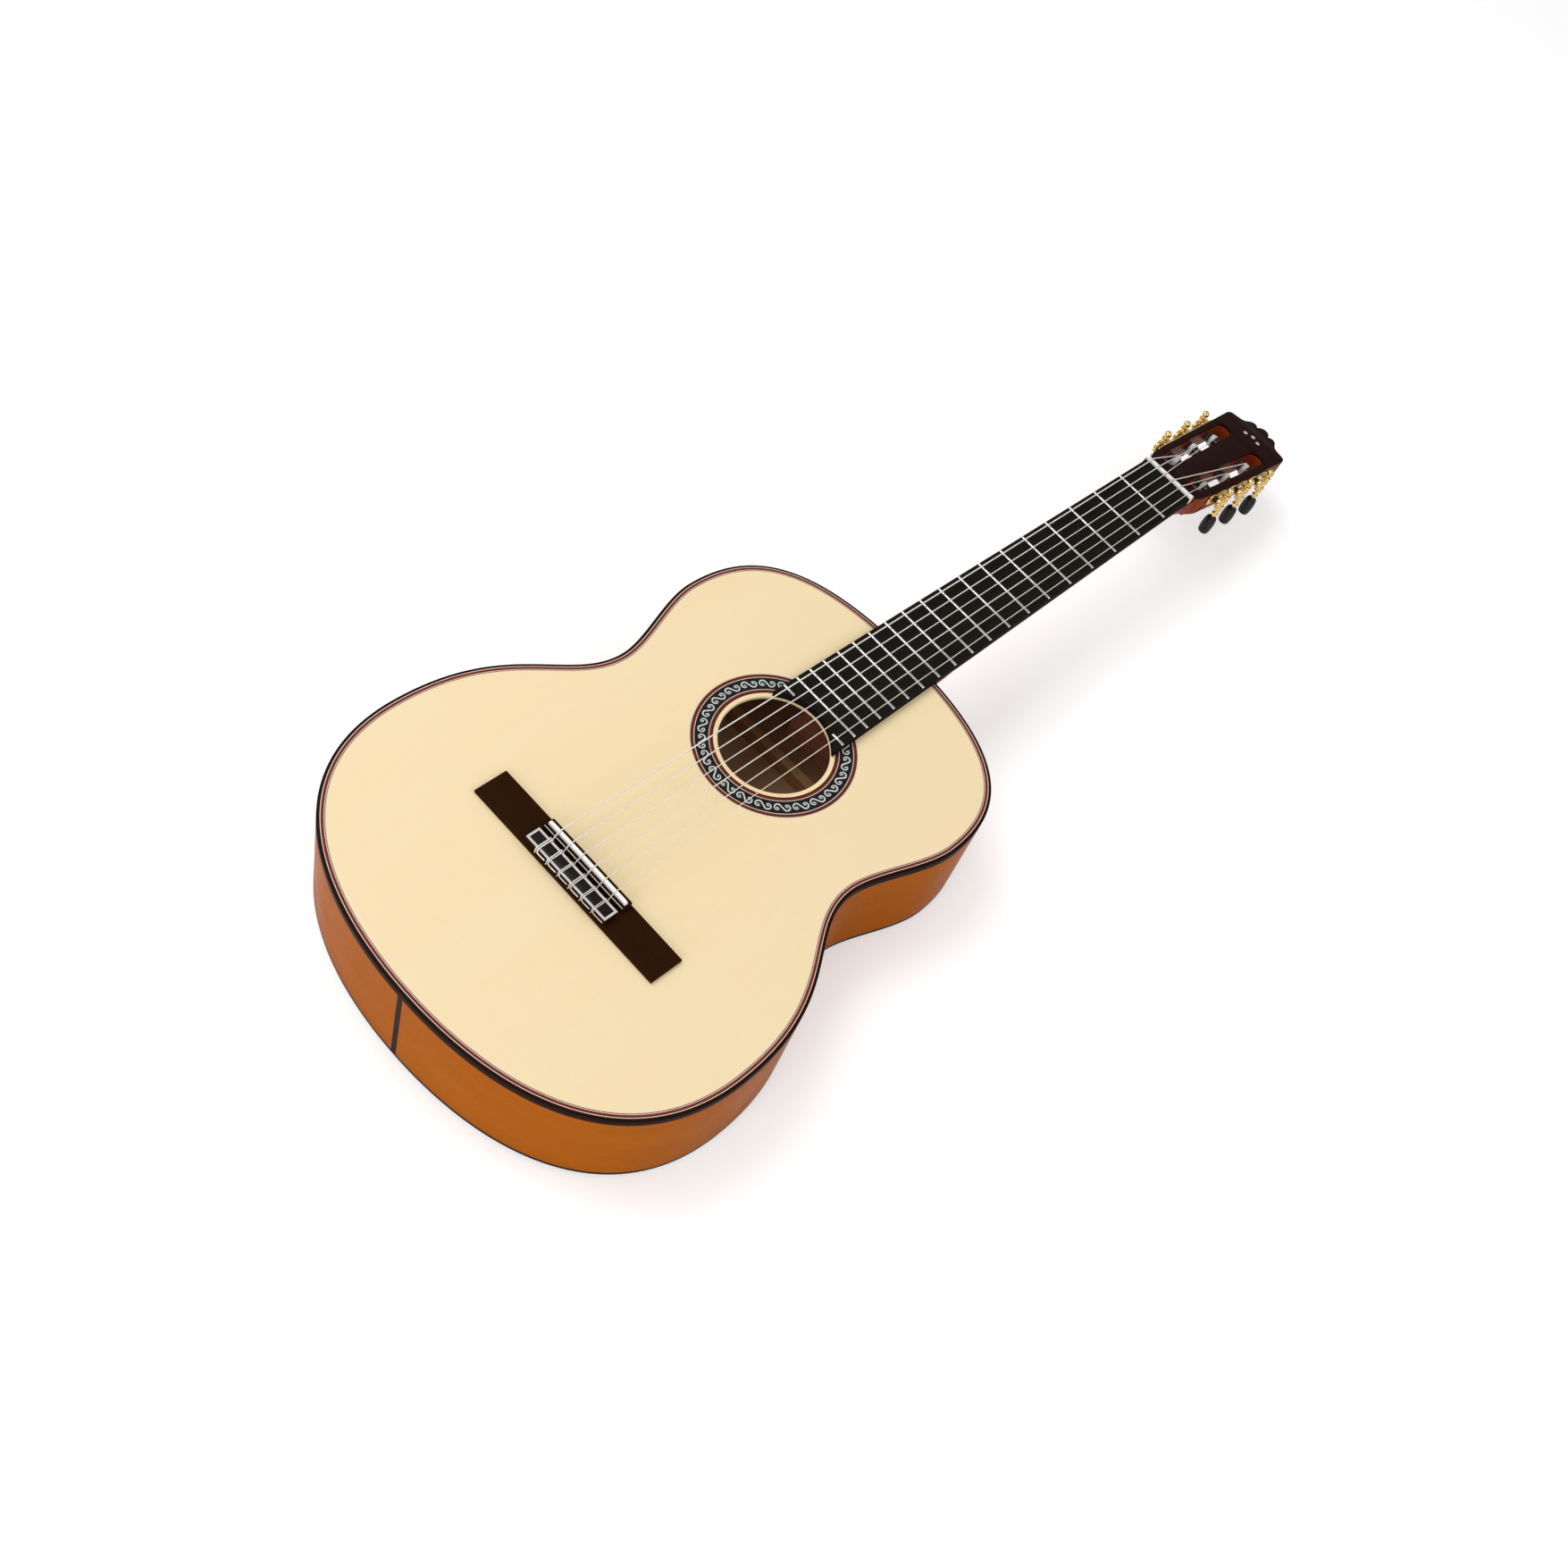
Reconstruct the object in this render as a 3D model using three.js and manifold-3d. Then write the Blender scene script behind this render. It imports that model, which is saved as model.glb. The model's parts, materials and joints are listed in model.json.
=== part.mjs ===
// A classical guitar lying on its back, built from the pieces a luthier would glue together.
// Millimetres, +Z up out of the soundboard, +Y towards the head, +X on the treble side.
// The origin is on the flat of the back, halfway along the body.

import * as THREE from 'three';
import { mergeVertices } from 'three/addons/utils/BufferGeometryUtils.js';
import Module from 'manifold-3d';

const wasm = await Module();
wasm.setup();

// ---------------------------------------------------------------- driving sizes

// Scale and neck. y is measured here from the front of the nut.
const SCALE_LENGTH = 650;
const FRET_COUNT = 19;
const BODY_FRET = 12;
const NUT_WIDTH = 52;
const TWELFTH_FRET_WIDTH = 62;
const NUT_THICKNESS = 5.5;
const NUT_HEIGHT = 8.2;
const FINGERBOARD_THICKNESS = 6.5;
const FRET_HEIGHT = 1.0;
const FRET_CROWN_WIDTH = 2.4;
const NECK_DEPTH_AT_NUT = 15;
const NECK_DEPTH_AT_HEEL = 18;
const NECK_OVERLAP_WITH_HEAD = 8;
const HEEL_LENGTH_AT_NECK = 62;
const HEEL_LENGTH_AT_CAP = 24;
const HEEL_HALF_WIDTH_AT_CAP = 12;

// Body
const BODY_LENGTH = 485;
const BODY_DEPTH = 92;
const LOWER_BOUT_WIDTH = 367;
const WAIST_WIDTH = 249;
const UPPER_BOUT_WIDTH = 291;
const LOWER_BOUT_FROM_TAIL = 136;
const WAIST_FROM_TAIL = 299;
const UPPER_BOUT_FROM_TAIL = 386;
const TOP_THICKNESS = 2.5;
const BACK_THICKNESS = 3;
const SIDE_THICKNESS = 2.2;
const TOP_BINDING_DEPTH = 6.5;
const BACK_BINDING_DEPTH = 4;
const LINING_WIDTH = 6;
const LINING_DEPTH = 14;
const END_GRAFT_WIDTH = 5;

// Soundhole and rosette
const SOUNDHOLE_RADIUS = 42.3;
const SOUNDHOLE_FROM_NECK_JOINT = 146.5;
const ROSETTE_FROM_HOLE_EDGE = 3.4;
const ROSETTE_WIDTH = 17.7;
const ROSETTE_THICKNESS = 1.2;
const FINGERBOARD_END_CLEARANCE = 1.2;
const FINGERBOARD_PAST_LAST_FRET = 12.9;

// Bracing and blocks
const BAR_WIDTH = 6;
const BAR_HEIGHT = 15;
const UPPER_BAR_FROM_HOLE_EDGE = 21.7;
const LOWER_BAR_FROM_HOLE_EDGE = 19.7;
const FAN_BRACE_COUNT = 5;
const FAN_BRACE_WIDTH = 5;
const FAN_BRACE_HEIGHT = 6;
const FAN_BRACE_LENGTH = 190;
const FAN_BRACE_SPACING = 26;
const FAN_BRACES_FROM_BAR = 6;
const FAN_BRACE_SPREAD = THREE.MathUtils.degToRad(6);
const BACK_BRACE_WIDTH = 8;
const BACK_BRACE_HEIGHT = 14;
const BACK_BRACES_FROM_TAIL = [120, 290, 385];
const TAIL_BLOCK_WIDTH = 80;
const TAIL_BLOCK_THICKNESS = 15;
const HEEL_BLOCK_WIDTH = 70;
const HEEL_BLOCK_THICKNESS = 32;
const HEEL_FOOT_LENGTH = 72;
const HEEL_FOOT_HEIGHT = 16;

// Bridge and saddle, with heights above the soundboard
const BRIDGE_LENGTH = 184;
const BRIDGE_WING_HEIGHT = 3.6;
const BRIDGE_CENTRE_LENGTH = 82;
const SADDLE_OFFSET = 3.2;
const SADDLE_LENGTH = 79.5;
const SADDLE_THICKNESS = 2.6;
const SADDLE_TOP = 12;
const SADDLE_SLOT_FLOOR = 4.2;
const SADDLE_BLOCK_HEIGHT = 8.6;
const SADDLE_BLOCK_WIDTH = 9.5;
const TIE_CHANNEL_HEIGHT = 4.4;
const TIE_BLOCK_HEIGHT = 9.6;
const TIE_BLOCK_WIDTH = 12.4;
const TIE_HOLE_HEIGHT = 6;
const TIE_CHANNEL_WIDTH = 3.6;
const BRIDGE_FRONT_MARGIN = 1;
const BRIDGE_BACK_MARGIN = 1.5;

// Strings, bass to treble
const STRING_DIAMETERS = [1.1, 0.92, 0.76, 1.02, 0.82, 0.72];
const STRING_SPREAD_AT_NUT = 43.4;
const STRING_SPREAD_AT_SADDLE = 58;
const STRING_CLEARANCE = 0.15;
const STRING_SIDES = 8;

// Head
const HEAD_TILT = THREE.MathUtils.degToRad(12);
const HEAD_RISE = 4.5;
const HEAD_LENGTH = 172;
const HEAD_THICKNESS = 20;
const HEAD_WIDTH_AT_SHOULDER = 60.6;
const HEAD_WIDTH_AT_CROWN = 69.4;
const SHOULDER_FROM_NUT = 18;
const CROWN_CORNER_FROM_NUT = 151;
const CROWN_CORNER_ROUNDING = 5;
const CROWN_HOLLOW_DROP = 16;
const CROWN_LOBE_DROP = 3;
const CROWN_LOBE_REACH = 17;
const CROWN_NOTCH_DROP = 6.5;
const CROWN_NOTCH_REACH = 7;
const HEADPLATE_THICKNESS = 2.5;
const SLOT_WIDTH = 15;
const SLOT_OUTER_WALL = 6.4;
const SLOT_BEFORE_ROLLERS = 25;
const SLOT_PAST_ROLLERS = 20;

// Tuning machines: three a side
const ROLLERS_A_SIDE = 3;
const FIRST_ROLLER = 39;
const ROLLER_SPACING = 35;
const ROLLER_DEPTH = 9;
const ROLLER_RADIUS = 4.75;
const ROLLER_SHAFT_RADIUS = 3;
const ROLLER_PIN_RADIUS = 2.4;
const ROLLER_PIN_LENGTH = 5;
const GEAR_BORE_RADIUS = 2;
const PLATE_THICKNESS = 1.5;
const PLATE_BEFORE_ROLLERS = 14;
const PLATE_PAST_ROLLERS = 21;
const PLATE_HEIGHT = 15;
const GEAR_TEETH = 14;
const GEAR_OUTER_RADIUS = 5.6;
const GEAR_TOOTH_DEPTH = 1.1;
const GEAR_ADDENDUM = 0.45;
const GEAR_FACE_WIDTH = 3;
const GEAR_OFFSET = 6.6;
const WORM_CORE_RADIUS = 1.8;
const WORM_TURNS = 2.5;
const WORM_STEPS_PER_TURN = 8;
const JOURNAL_RADIUS = 1.6;
const BRACKET_THICKNESS = 2;
const BRACKET_WIDTH = 6.4;
const BRACKET_OFFSET = 5.6;
const FINIAL_RADIUS = 3.3;
const COLLAR_RADIUS = 3.2;
const BUTTON_START = 24;
const BUTTON_LENGTH = 24;
const BUTTON_RADIUS = 5.5;
const BUTTON_SOCKET_DEPTH = 8;

// Fits
const SEAT_GAP = 0.3;
const RUNNING_GAP = 0.3;

// ---------------------------------------------------------------- derived places

const TOP = BODY_DEPTH;
const JOIN_Y = -fretDistance(BODY_FRET);
const TAIL_Y = JOIN_Y - BODY_LENGTH;
const HOLE_Y = JOIN_Y - SOUNDHOLE_FROM_NECK_JOINT;
const ROSETTE_INNER_RADIUS = SOUNDHOLE_RADIUS + ROSETTE_FROM_HOLE_EDGE;
const ROSETTE_OUTER_RADIUS = ROSETTE_INNER_RADIUS + ROSETTE_WIDTH;
const LAST_ROLLER = FIRST_ROLLER + (ROLLERS_A_SIDE - 1) * ROLLER_SPACING;
const GEAR_ROOT_RADIUS = GEAR_OUTER_RADIUS - GEAR_TOOTH_DEPTH;
const GEAR_PITCH_RADIUS = GEAR_OUTER_RADIUS - GEAR_ADDENDUM;
const WORM_THREAD_RADIUS = WORM_CORE_RADIUS + GEAR_TOOTH_DEPTH;
const WORM_CENTRE_DISTANCE = GEAR_OUTER_RADIUS + WORM_CORE_RADIUS + RUNNING_GAP;
const SADDLE_Y = -(SCALE_LENGTH + SADDLE_OFFSET);
const HEAD_Y = NUT_THICKNESS + SEAT_GAP;
const GEAR_PITCH = (2 * Math.PI * GEAR_PITCH_RADIUS) / GEAR_TEETH;
const HEAD_FLARE = Math.atan2(
  (HEAD_WIDTH_AT_CROWN - HEAD_WIDTH_AT_SHOULDER) / 2,
  CROWN_CORNER_FROM_NUT - SHOULDER_FROM_NUT,
);

function fretDistance(fret) {
  return SCALE_LENGTH * (1 - 2 ** (-fret / 12));
}

function neckWidthAt(y) {
  return NUT_WIDTH + ((TWELFTH_FRET_WIDTH - NUT_WIDTH) * -y) / fretDistance(BODY_FRET);
}

function headHalfWidthAt(v) {
  return HEAD_WIDTH_AT_SHOULDER / 2 + (v - SHOULDER_FROM_NUT) * Math.tan(HEAD_FLARE);
}

function stringX(index, spread) {
  return (index / (STRING_DIAMETERS.length - 1) - 0.5) * spread;
}

// ---------------------------------------------------------------- solids and helpers

function closed(geometry) {
  const bare = geometry.index ? geometry.toNonIndexed() : geometry.clone();
  bare.deleteAttribute('normal');
  bare.deleteAttribute('uv');
  return mergeVertices(bare, 1e-4);
}

function solidOf(geometry) {
  const shared = closed(geometry);
  const vertProperties = new Float32Array(shared.attributes.position.array);
  const triVerts = new Uint32Array(shared.index.array);
  return new wasm.Manifold(new wasm.Mesh({ numProp: 3, vertProperties, triVerts }));
}

function geometryOf(solid) {
  const { vertProperties, triVerts } = solid.getMesh();
  const geometry = new THREE.BufferGeometry();
  geometry.setAttribute('position', new THREE.BufferAttribute(vertProperties, 3));
  geometry.setIndex(new THREE.BufferAttribute(triVerts, 1));
  return geometry;
}

function join(...geometries) {
  return geometryOf(geometries.map(solidOf).reduce((sum, next) => sum.add(next)));
}

function cut(geometry, ...cutters) {
  return geometryOf(cutters.map(solidOf).reduce((rest, next) => rest.subtract(next), solidOf(geometry)));
}

function common(geometry, other) {
  return geometryOf(solidOf(geometry).intersect(solidOf(other)));
}

function prism(shape, low, high, curveSegments = 8) {
  const geometry = new THREE.ExtrudeGeometry(shape, {
    depth: high - low, bevelEnabled: false, curveSegments,
  });
  return geometry.translate(0, 0, low);
}

function box(x0, x1, y0, y1, z0, z1) {
  const geometry = new THREE.BoxGeometry(x1 - x0, y1 - y0, z1 - z0);
  return geometry.translate((x0 + x1) / 2, (y0 + y1) / 2, (z0 + z1) / 2);
}

function disc(x, y, radius, low, high, segments = 48) {
  const geometry = new THREE.CylinderGeometry(radius, radius, high - low, segments);
  return geometry.rotateX(Math.PI / 2).translate(x, y, (low + high) / 2);
}

// A profile of [radius, height] points turned about the z axis.
function turned(profile, segments = 16) {
  const points = profile.map(([radius, height]) => new THREE.Vector2(radius, height));
  return new THREE.LatheGeometry(points, segments).rotateX(Math.PI / 2);
}

function rodAlongX(radius, x0, x1, y, z, segments = 12) {
  const geometry = new THREE.CylinderGeometry(radius, radius, x1 - x0, segments);
  return geometry.rotateZ(-Math.PI / 2).translate((x0 + x1) / 2, y, z);
}

// A skin over rings of points, closed by a flat fan at each end.
function loft(rings) {
  const size = rings[0].length;
  const positions = rings.flat().flatMap((point) => [point.x, point.y, point.z]);
  const index = [];
  for (let ring = 0; ring < rings.length - 1; ring += 1) {
    for (let side = 0; side < size; side += 1) {
      const here = ring * size + side;
      const next = ring * size + ((side + 1) % size);
      index.push(here, next, next + size, here, next + size, here + size);
    }
  }
  const last = (rings.length - 1) * size;
  for (let side = 1; side < size - 1; side += 1) {
    index.push(0, side + 1, side);
    index.push(last, last + side, last + side + 1);
  }
  const geometry = new THREE.BufferGeometry();
  geometry.setAttribute('position', new THREE.Float32BufferAttribute(positions, 3));
  geometry.setIndex(index);
  return signedVolume(geometry) < 0 ? turnedInsideOut(geometry) : geometry;
}

function signedVolume(geometry) {
  const position = geometry.attributes.position;
  const corner = () => new THREE.Vector3();
  const [a, b, c] = [corner(), corner(), corner()];
  let volume = 0;
  for (let i = 0; i < geometry.index.count; i += 3) {
    a.fromBufferAttribute(position, geometry.index.getX(i));
    b.fromBufferAttribute(position, geometry.index.getX(i + 1));
    c.fromBufferAttribute(position, geometry.index.getX(i + 2));
    volume += a.dot(b.cross(c)) / 6;
  }
  return volume;
}

function turnedInsideOut(geometry) {
  const flipped = geometry.clone();
  const order = geometry.index.array;
  const swapped = [];
  for (let i = 0; i < order.length; i += 3) swapped.push(order[i], order[i + 2], order[i + 1]);
  flipped.setIndex(swapped);
  return flipped;
}

// Pieces of a tuning machine are drawn for the treble side and mirrored for the bass side.
function forSide(geometry, side) {
  const shared = closed(geometry);
  return side > 0 ? shared : turnedInsideOut(shared.scale(-1, 1, 1));
}

const PALETTE = {
  spruce: [0xf3dfb4, 0.35, 0],
  cypress: [0xc46a10, 0.3, 0],
  rosewood: [0x2c1606, 0.4, 0],
  ebony: [0x1c1a18, 0.45, 0],
  mahogany: [0x7a2e12, 0.4, 0],
  cedar: [0xa9703c, 0.6, 0],
  bone: [0xf4efe2, 0.4, 0],
  mosaic: [0x2a241e, 0.4, 0],
  gold: [0xd9a437, 0.25, 1],
  blackPlastic: [0x121110, 0.35, 0],
  silverWound: [0xc9c9c6, 0.3, 1],
  nylon: [0xe8e4dc, 0.2, 0],
};

function piece(name, geometry, finish) {
  const [color, roughness, metalness] = PALETTE[finish];
  const mesh = new THREE.Mesh(geometry, new THREE.MeshStandardMaterial({ color, roughness, metalness }));
  mesh.name = name;
  return mesh;
}

// ---------------------------------------------------------------- body outline

// The treble half of the outline from the tail to the neck: four curves that meet at the
// widest point of the lower bout, the waist and the widest point of the upper bout.
function halfOutlineCurves() {
  const lower = new THREE.Vector2(LOWER_BOUT_WIDTH / 2, TAIL_Y + LOWER_BOUT_FROM_TAIL);
  const waist = new THREE.Vector2(WAIST_WIDTH / 2, TAIL_Y + WAIST_FROM_TAIL);
  const upper = new THREE.Vector2(UPPER_BOUT_WIDTH / 2, TAIL_Y + UPPER_BOUT_FROM_TAIL);
  const tail = new THREE.Vector2(0, TAIL_Y);
  const neck = new THREE.Vector2(0, JOIN_Y);
  const toWaist = waist.y - lower.y;
  const toUpper = upper.y - waist.y;
  const curve = (from, fromPull, toPull, to) => new THREE.CubicBezierCurve(
    from, from.clone().add(fromPull), to.clone().add(toPull), to,
  );
  const pull = (x, y) => new THREE.Vector2(x, y);
  return [
    curve(tail, pull(lower.x * 0.545, 0), pull(0, -LOWER_BOUT_FROM_TAIL * 0.71), lower),
    curve(lower, pull(0, toWaist * 0.62), pull(0, -toWaist * 0.3), waist),
    curve(waist, pull(0, toUpper * 0.28), pull(0, -toUpper * 0.32), upper),
    curve(upper, pull(0, (neck.y - upper.y) * 0.62), pull(upper.x * 0.76, 0), neck),
  ];
}

const CURVE_STEPS = [11, 8, 6, 10];

// Points of the half outline moved inwards by an inset.
function halfOutline(inset) {
  const points = [];
  halfOutlineCurves().forEach((curve, order) => {
    const steps = CURVE_STEPS[order];
    for (let step = order === 0 ? 0 : 1; step <= steps; step += 1) {
      const along = curve.getTangent(step / steps);
      const outwards = new THREE.Vector2(along.y, -along.x);
      points.push(curve.getPoint(step / steps).addScaledVector(outwards, -inset));
    }
  });
  points[0].x = 0;
  points[points.length - 1].x = 0;
  return points;
}

function outline(inset) {
  const half = halfOutline(inset);
  const mirrored = half.slice(1, -1).reverse().map((point) => new THREE.Vector2(-point.x, point.y));
  return [...half, ...mirrored];
}

// Half the inside width of the outline at a given y.
function halfWidthAt(y, inset) {
  const half = halfOutline(inset);
  for (let i = 1; i < half.length; i += 1) {
    const [a, b] = [half[i - 1], half[i]];
    if (a.y <= y && y <= b.y && b.y > a.y) return a.x + ((b.x - a.x) * (y - a.y)) / (b.y - a.y);
  }
  return half.reduce((widest, point) => Math.max(widest, point.x), 0);
}

function narrowestBetween(y0, y1, inset) {
  return Math.min(halfWidthAt(y0, inset), halfWidthAt((y0 + y1) / 2, inset), halfWidthAt(y1, inset));
}

function outlineShape(inset) {
  return new THREE.Shape(outline(inset));
}

function outlineRing(outerInset, innerInset) {
  const shape = outlineShape(outerInset);
  shape.holes.push(new THREE.Path(outline(innerInset)));
  return shape;
}

// ---------------------------------------------------------------- body

const PLATE_INSET = SIDE_THICKNESS;
const LINING_OUTER_INSET = SIDE_THICKNESS + SEAT_GAP;
const LINING_INNER_INSET = LINING_OUTER_INSET + LINING_WIDTH;
const HOLE_SEGMENTS = 48;
const INSIDE_FLOOR = BACK_THICKNESS;
const INSIDE_CEILING = TOP - TOP_THICKNESS;

function rosetteRing(low, high) {
  return cut(
    disc(0, HOLE_Y, ROSETTE_OUTER_RADIUS, low, high, HOLE_SEGMENTS),
    disc(0, HOLE_Y, ROSETTE_INNER_RADIUS, low - 1, high + 1, HOLE_SEGMENTS),
  );
}

function soundboard() {
  const plate = prism(outlineShape(PLATE_INSET), INSIDE_CEILING, TOP);
  const hole = disc(0, HOLE_Y, SOUNDHOLE_RADIUS, INSIDE_CEILING - 1, TOP + 1, HOLE_SEGMENTS);
  const channel = rosetteRing(TOP - ROSETTE_THICKNESS, TOP + 1);
  return piece('soundboard', cut(plate, hole, channel), 'spruce');
}

function rosette() {
  return piece('rosette', rosetteRing(TOP - ROSETTE_THICKNESS, TOP), 'mosaic');
}

function backPlate() {
  return piece('back_plate', prism(outlineShape(PLATE_INSET), 0, BACK_THICKNESS), 'cypress');
}

function sides() {
  const low = BACK_BINDING_DEPTH;
  const high = TOP - TOP_BINDING_DEPTH;
  const ring = prism(outlineRing(0, SIDE_THICKNESS), low, high);
  const reach = LOWER_BOUT_WIDTH;
  const half = END_GRAFT_WIDTH / 2;
  const tailward = TAIL_Y + TAIL_BLOCK_THICKNESS;
  const graftZone = box(-half, half, TAIL_Y - 1, tailward, low - 1, high + 1);
  const bassZone = box(-reach, 0, TAIL_Y - 1, JOIN_Y + 1, low - 1, high + 1);
  const trebleZone = box(0, reach, TAIL_Y - 1, JOIN_Y + 1, low - 1, high + 1);
  return [
    piece('side_bass', cut(common(ring, bassZone), graftZone), 'cypress'),
    piece('side_treble', cut(common(ring, trebleZone), graftZone), 'cypress'),
    piece('end_graft', common(ring, graftZone), 'ebony'),
  ];
}

function bindings() {
  const topRing = outlineRing(0, PLATE_INSET);
  return [
    piece('binding_top', prism(topRing, TOP - TOP_BINDING_DEPTH, TOP), 'ebony'),
    piece('binding_back', prism(topRing, 0, BACK_BINDING_DEPTH), 'ebony'),
  ];
}

// The linings are strips against the sides, open at the heel block and let into the tail block.
function liningRing(low, high, allowance = 0) {
  return prism(outlineRing(LINING_OUTER_INSET - allowance, LINING_INNER_INSET + allowance), low, high);
}

const LINING_LEVELS = {
  lining_top: [INSIDE_CEILING - LINING_DEPTH, INSIDE_CEILING],
  lining_back: [INSIDE_FLOOR, INSIDE_FLOOR + LINING_DEPTH],
};

function linings() {
  const half = HEEL_BLOCK_WIDTH / 2 + SEAT_GAP;
  const opening = box(-half, half, JOIN_Y - HEEL_BLOCK_THICKNESS, JOIN_Y, 0, TOP);
  return Object.entries(LINING_LEVELS).map(([name, [low, high]]) => (
    piece(name, cut(liningRing(low, high), opening), 'cedar')
  ));
}

function blocks() {
  const inside = prism(outlineShape(LINING_OUTER_INSET), INSIDE_FLOOR, INSIDE_CEILING);
  const tailHalf = TAIL_BLOCK_WIDTH / 2;
  const heelHalf = HEEL_BLOCK_WIDTH / 2;
  const tailZone = box(-tailHalf, tailHalf, TAIL_Y, TAIL_Y + TAIL_BLOCK_THICKNESS + SIDE_THICKNESS, 0, TOP);
  const heelZone = box(-heelHalf, heelHalf, JOIN_Y - HEEL_BLOCK_THICKNESS, JOIN_Y, 0, TOP);
  const foot = box(
    -heelHalf, heelHalf, JOIN_Y - HEEL_FOOT_LENGTH, JOIN_Y - HEEL_BLOCK_THICKNESS + 1,
    INSIDE_FLOOR, INSIDE_FLOOR + HEEL_FOOT_HEIGHT,
  );
  const rebates = Object.values(LINING_LEVELS).map(([low, high]) => (
    liningRing(low - SEAT_GAP, high + SEAT_GAP, SEAT_GAP)
  ));
  return [
    piece('tail_block', cut(common(inside, tailZone), ...rebates), 'mahogany'),
    piece('heel_block', join(common(inside, heelZone), foot), 'mahogany'),
  ];
}

// A straight bar across the body that stops clear of the linings.
function crossBar(name, y, width, low, high) {
  const [y0, y1] = [y - width / 2, y + width / 2];
  const reach = narrowestBetween(y0, y1, LINING_INNER_INSET) - SEAT_GAP;
  return piece(name, box(-reach, reach, y0, y1, low, high), 'cedar');
}

function braces() {
  const barLow = INSIDE_CEILING - BAR_HEIGHT;
  const lowerBarY = HOLE_Y - SOUNDHOLE_RADIUS - LOWER_BAR_FROM_HOLE_EDGE;
  const upperBarY = HOLE_Y + SOUNDHOLE_RADIUS + UPPER_BAR_FROM_HOLE_EDGE;
  const bars = [
    crossBar('harmonic_bar_upper', upperBarY, BAR_WIDTH, barLow, INSIDE_CEILING),
    crossBar('harmonic_bar_lower', lowerBarY, BAR_WIDTH, barLow, INSIDE_CEILING),
  ];
  const backBars = BACK_BRACES_FROM_TAIL.map((fromTail, order) => crossBar(
    `back_brace_${order + 1}`, TAIL_Y + fromTail, BACK_BRACE_WIDTH,
    INSIDE_FLOOR, INSIDE_FLOOR + BACK_BRACE_HEIGHT,
  ));
  const fanStart = lowerBarY - BAR_WIDTH / 2 - FAN_BRACES_FROM_BAR;
  const fan = [];
  for (let order = 0; order < FAN_BRACE_COUNT; order += 1) {
    const place = order - (FAN_BRACE_COUNT - 1) / 2;
    const bar = box(
      -FAN_BRACE_WIDTH / 2, FAN_BRACE_WIDTH / 2, -FAN_BRACE_LENGTH, 0,
      INSIDE_CEILING - FAN_BRACE_HEIGHT, INSIDE_CEILING,
    );
    bar.rotateZ(place * FAN_BRACE_SPREAD).translate(place * FAN_BRACE_SPACING, fanStart, 0);
    fan.push(piece(`fan_brace_${order + 1}`, bar, 'spruce'));
  }
  return [...bars, ...backBars, ...fan];
}

// ---------------------------------------------------------------- neck and fingerboard

// Flat on top, half an ellipse below.
function neckSection(y, halfWidth, depth, segments = 12) {
  const ring = [];
  for (let step = 0; step <= segments; step += 1) {
    const turn = Math.PI * (1 + step / segments);
    ring.push(new THREE.Vector3(halfWidth * Math.cos(turn), y, TOP + depth * Math.sin(turn)));
  }
  return ring;
}

// Flat against the body, rounded towards the head.
function heelSection(z, halfWidth, length, segments = 12) {
  const ring = [];
  for (let step = 0; step <= segments; step += 1) {
    const turn = Math.PI * (step / segments);
    ring.push(new THREE.Vector3(halfWidth * Math.cos(turn), JOIN_Y + length * Math.sin(turn), z));
  }
  return ring;
}

// One half of the head from the nut to the crown's tip, as curves of three control points each:
// the shoulder, the straight side, the rounded corner, the hollow, the side lobe, the middle lobe.
function halfHeadCurves() {
  const corner = headHalfWidthAt(CROWN_CORNER_FROM_NUT);
  const shoulder = HEAD_WIDTH_AT_SHOULDER / 2;
  const throat = NUT_WIDTH / 2;
  const sideEnd = CROWN_CORNER_FROM_NUT - CROWN_CORNER_ROUNDING;
  const lobe = HEAD_LENGTH - CROWN_LOBE_DROP;
  const notch = HEAD_LENGTH - CROWN_NOTCH_DROP;
  const hollow = HEAD_LENGTH - CROWN_HOLLOW_DROP;
  return [
    [[throat + 0.5, SHOULDER_FROM_NUT * 0.4], [shoulder - 0.6, SHOULDER_FROM_NUT * 0.55],
      [shoulder, SHOULDER_FROM_NUT]],
    [[shoulder, SHOULDER_FROM_NUT], [corner - 0.3, sideEnd], [corner - 0.3, sideEnd]],
    [[corner + 0.6, CROWN_CORNER_FROM_NUT], [corner - 1, hollow - 0.5],
      [corner - CROWN_CORNER_ROUNDING, hollow]],
    [[corner - 11, hollow + 1.5], [CROWN_LOBE_REACH + 3, hollow + 1], [CROWN_LOBE_REACH, notch - 3]],
    [[CROWN_LOBE_REACH - 2, lobe], [CROWN_NOTCH_REACH + 2, lobe + 1], [CROWN_NOTCH_REACH, notch]],
    [[CROWN_NOTCH_REACH * 0.72, HEAD_LENGTH - 1.4], [CROWN_NOTCH_REACH * 0.36, HEAD_LENGTH],
      [0, HEAD_LENGTH]],
  ];
}

function headOutline() {
  const throat = NUT_WIDTH / 2;
  const shape = new THREE.Shape();
  shape.moveTo(-throat, 0);
  shape.lineTo(throat, 0);
  const right = halfHeadCurves();
  right.forEach(([[x1, y1], [x2, y2], [x, y]]) => shape.bezierCurveTo(x1, y1, x2, y2, x, y));
  const ends = [[throat, 0], ...right.map(([, , end]) => end)];
  for (let order = right.length - 1; order >= 0; order -= 1) {
    const [[x1, y1], [x2, y2]] = right[order];
    const [x, y] = ends[order];
    shape.bezierCurveTo(-x2, y2, -x1, y1, -x, y);
  }
  return shape;
}

// The head's own frame: y along the face from the nut, z out of the face.
function headMatrix() {
  const tilt = new THREE.Matrix4().makeRotationX(-HEAD_TILT);
  return new THREE.Matrix4().makeTranslation(0, HEAD_Y, TOP + HEAD_RISE).multiply(tilt);
}

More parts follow.
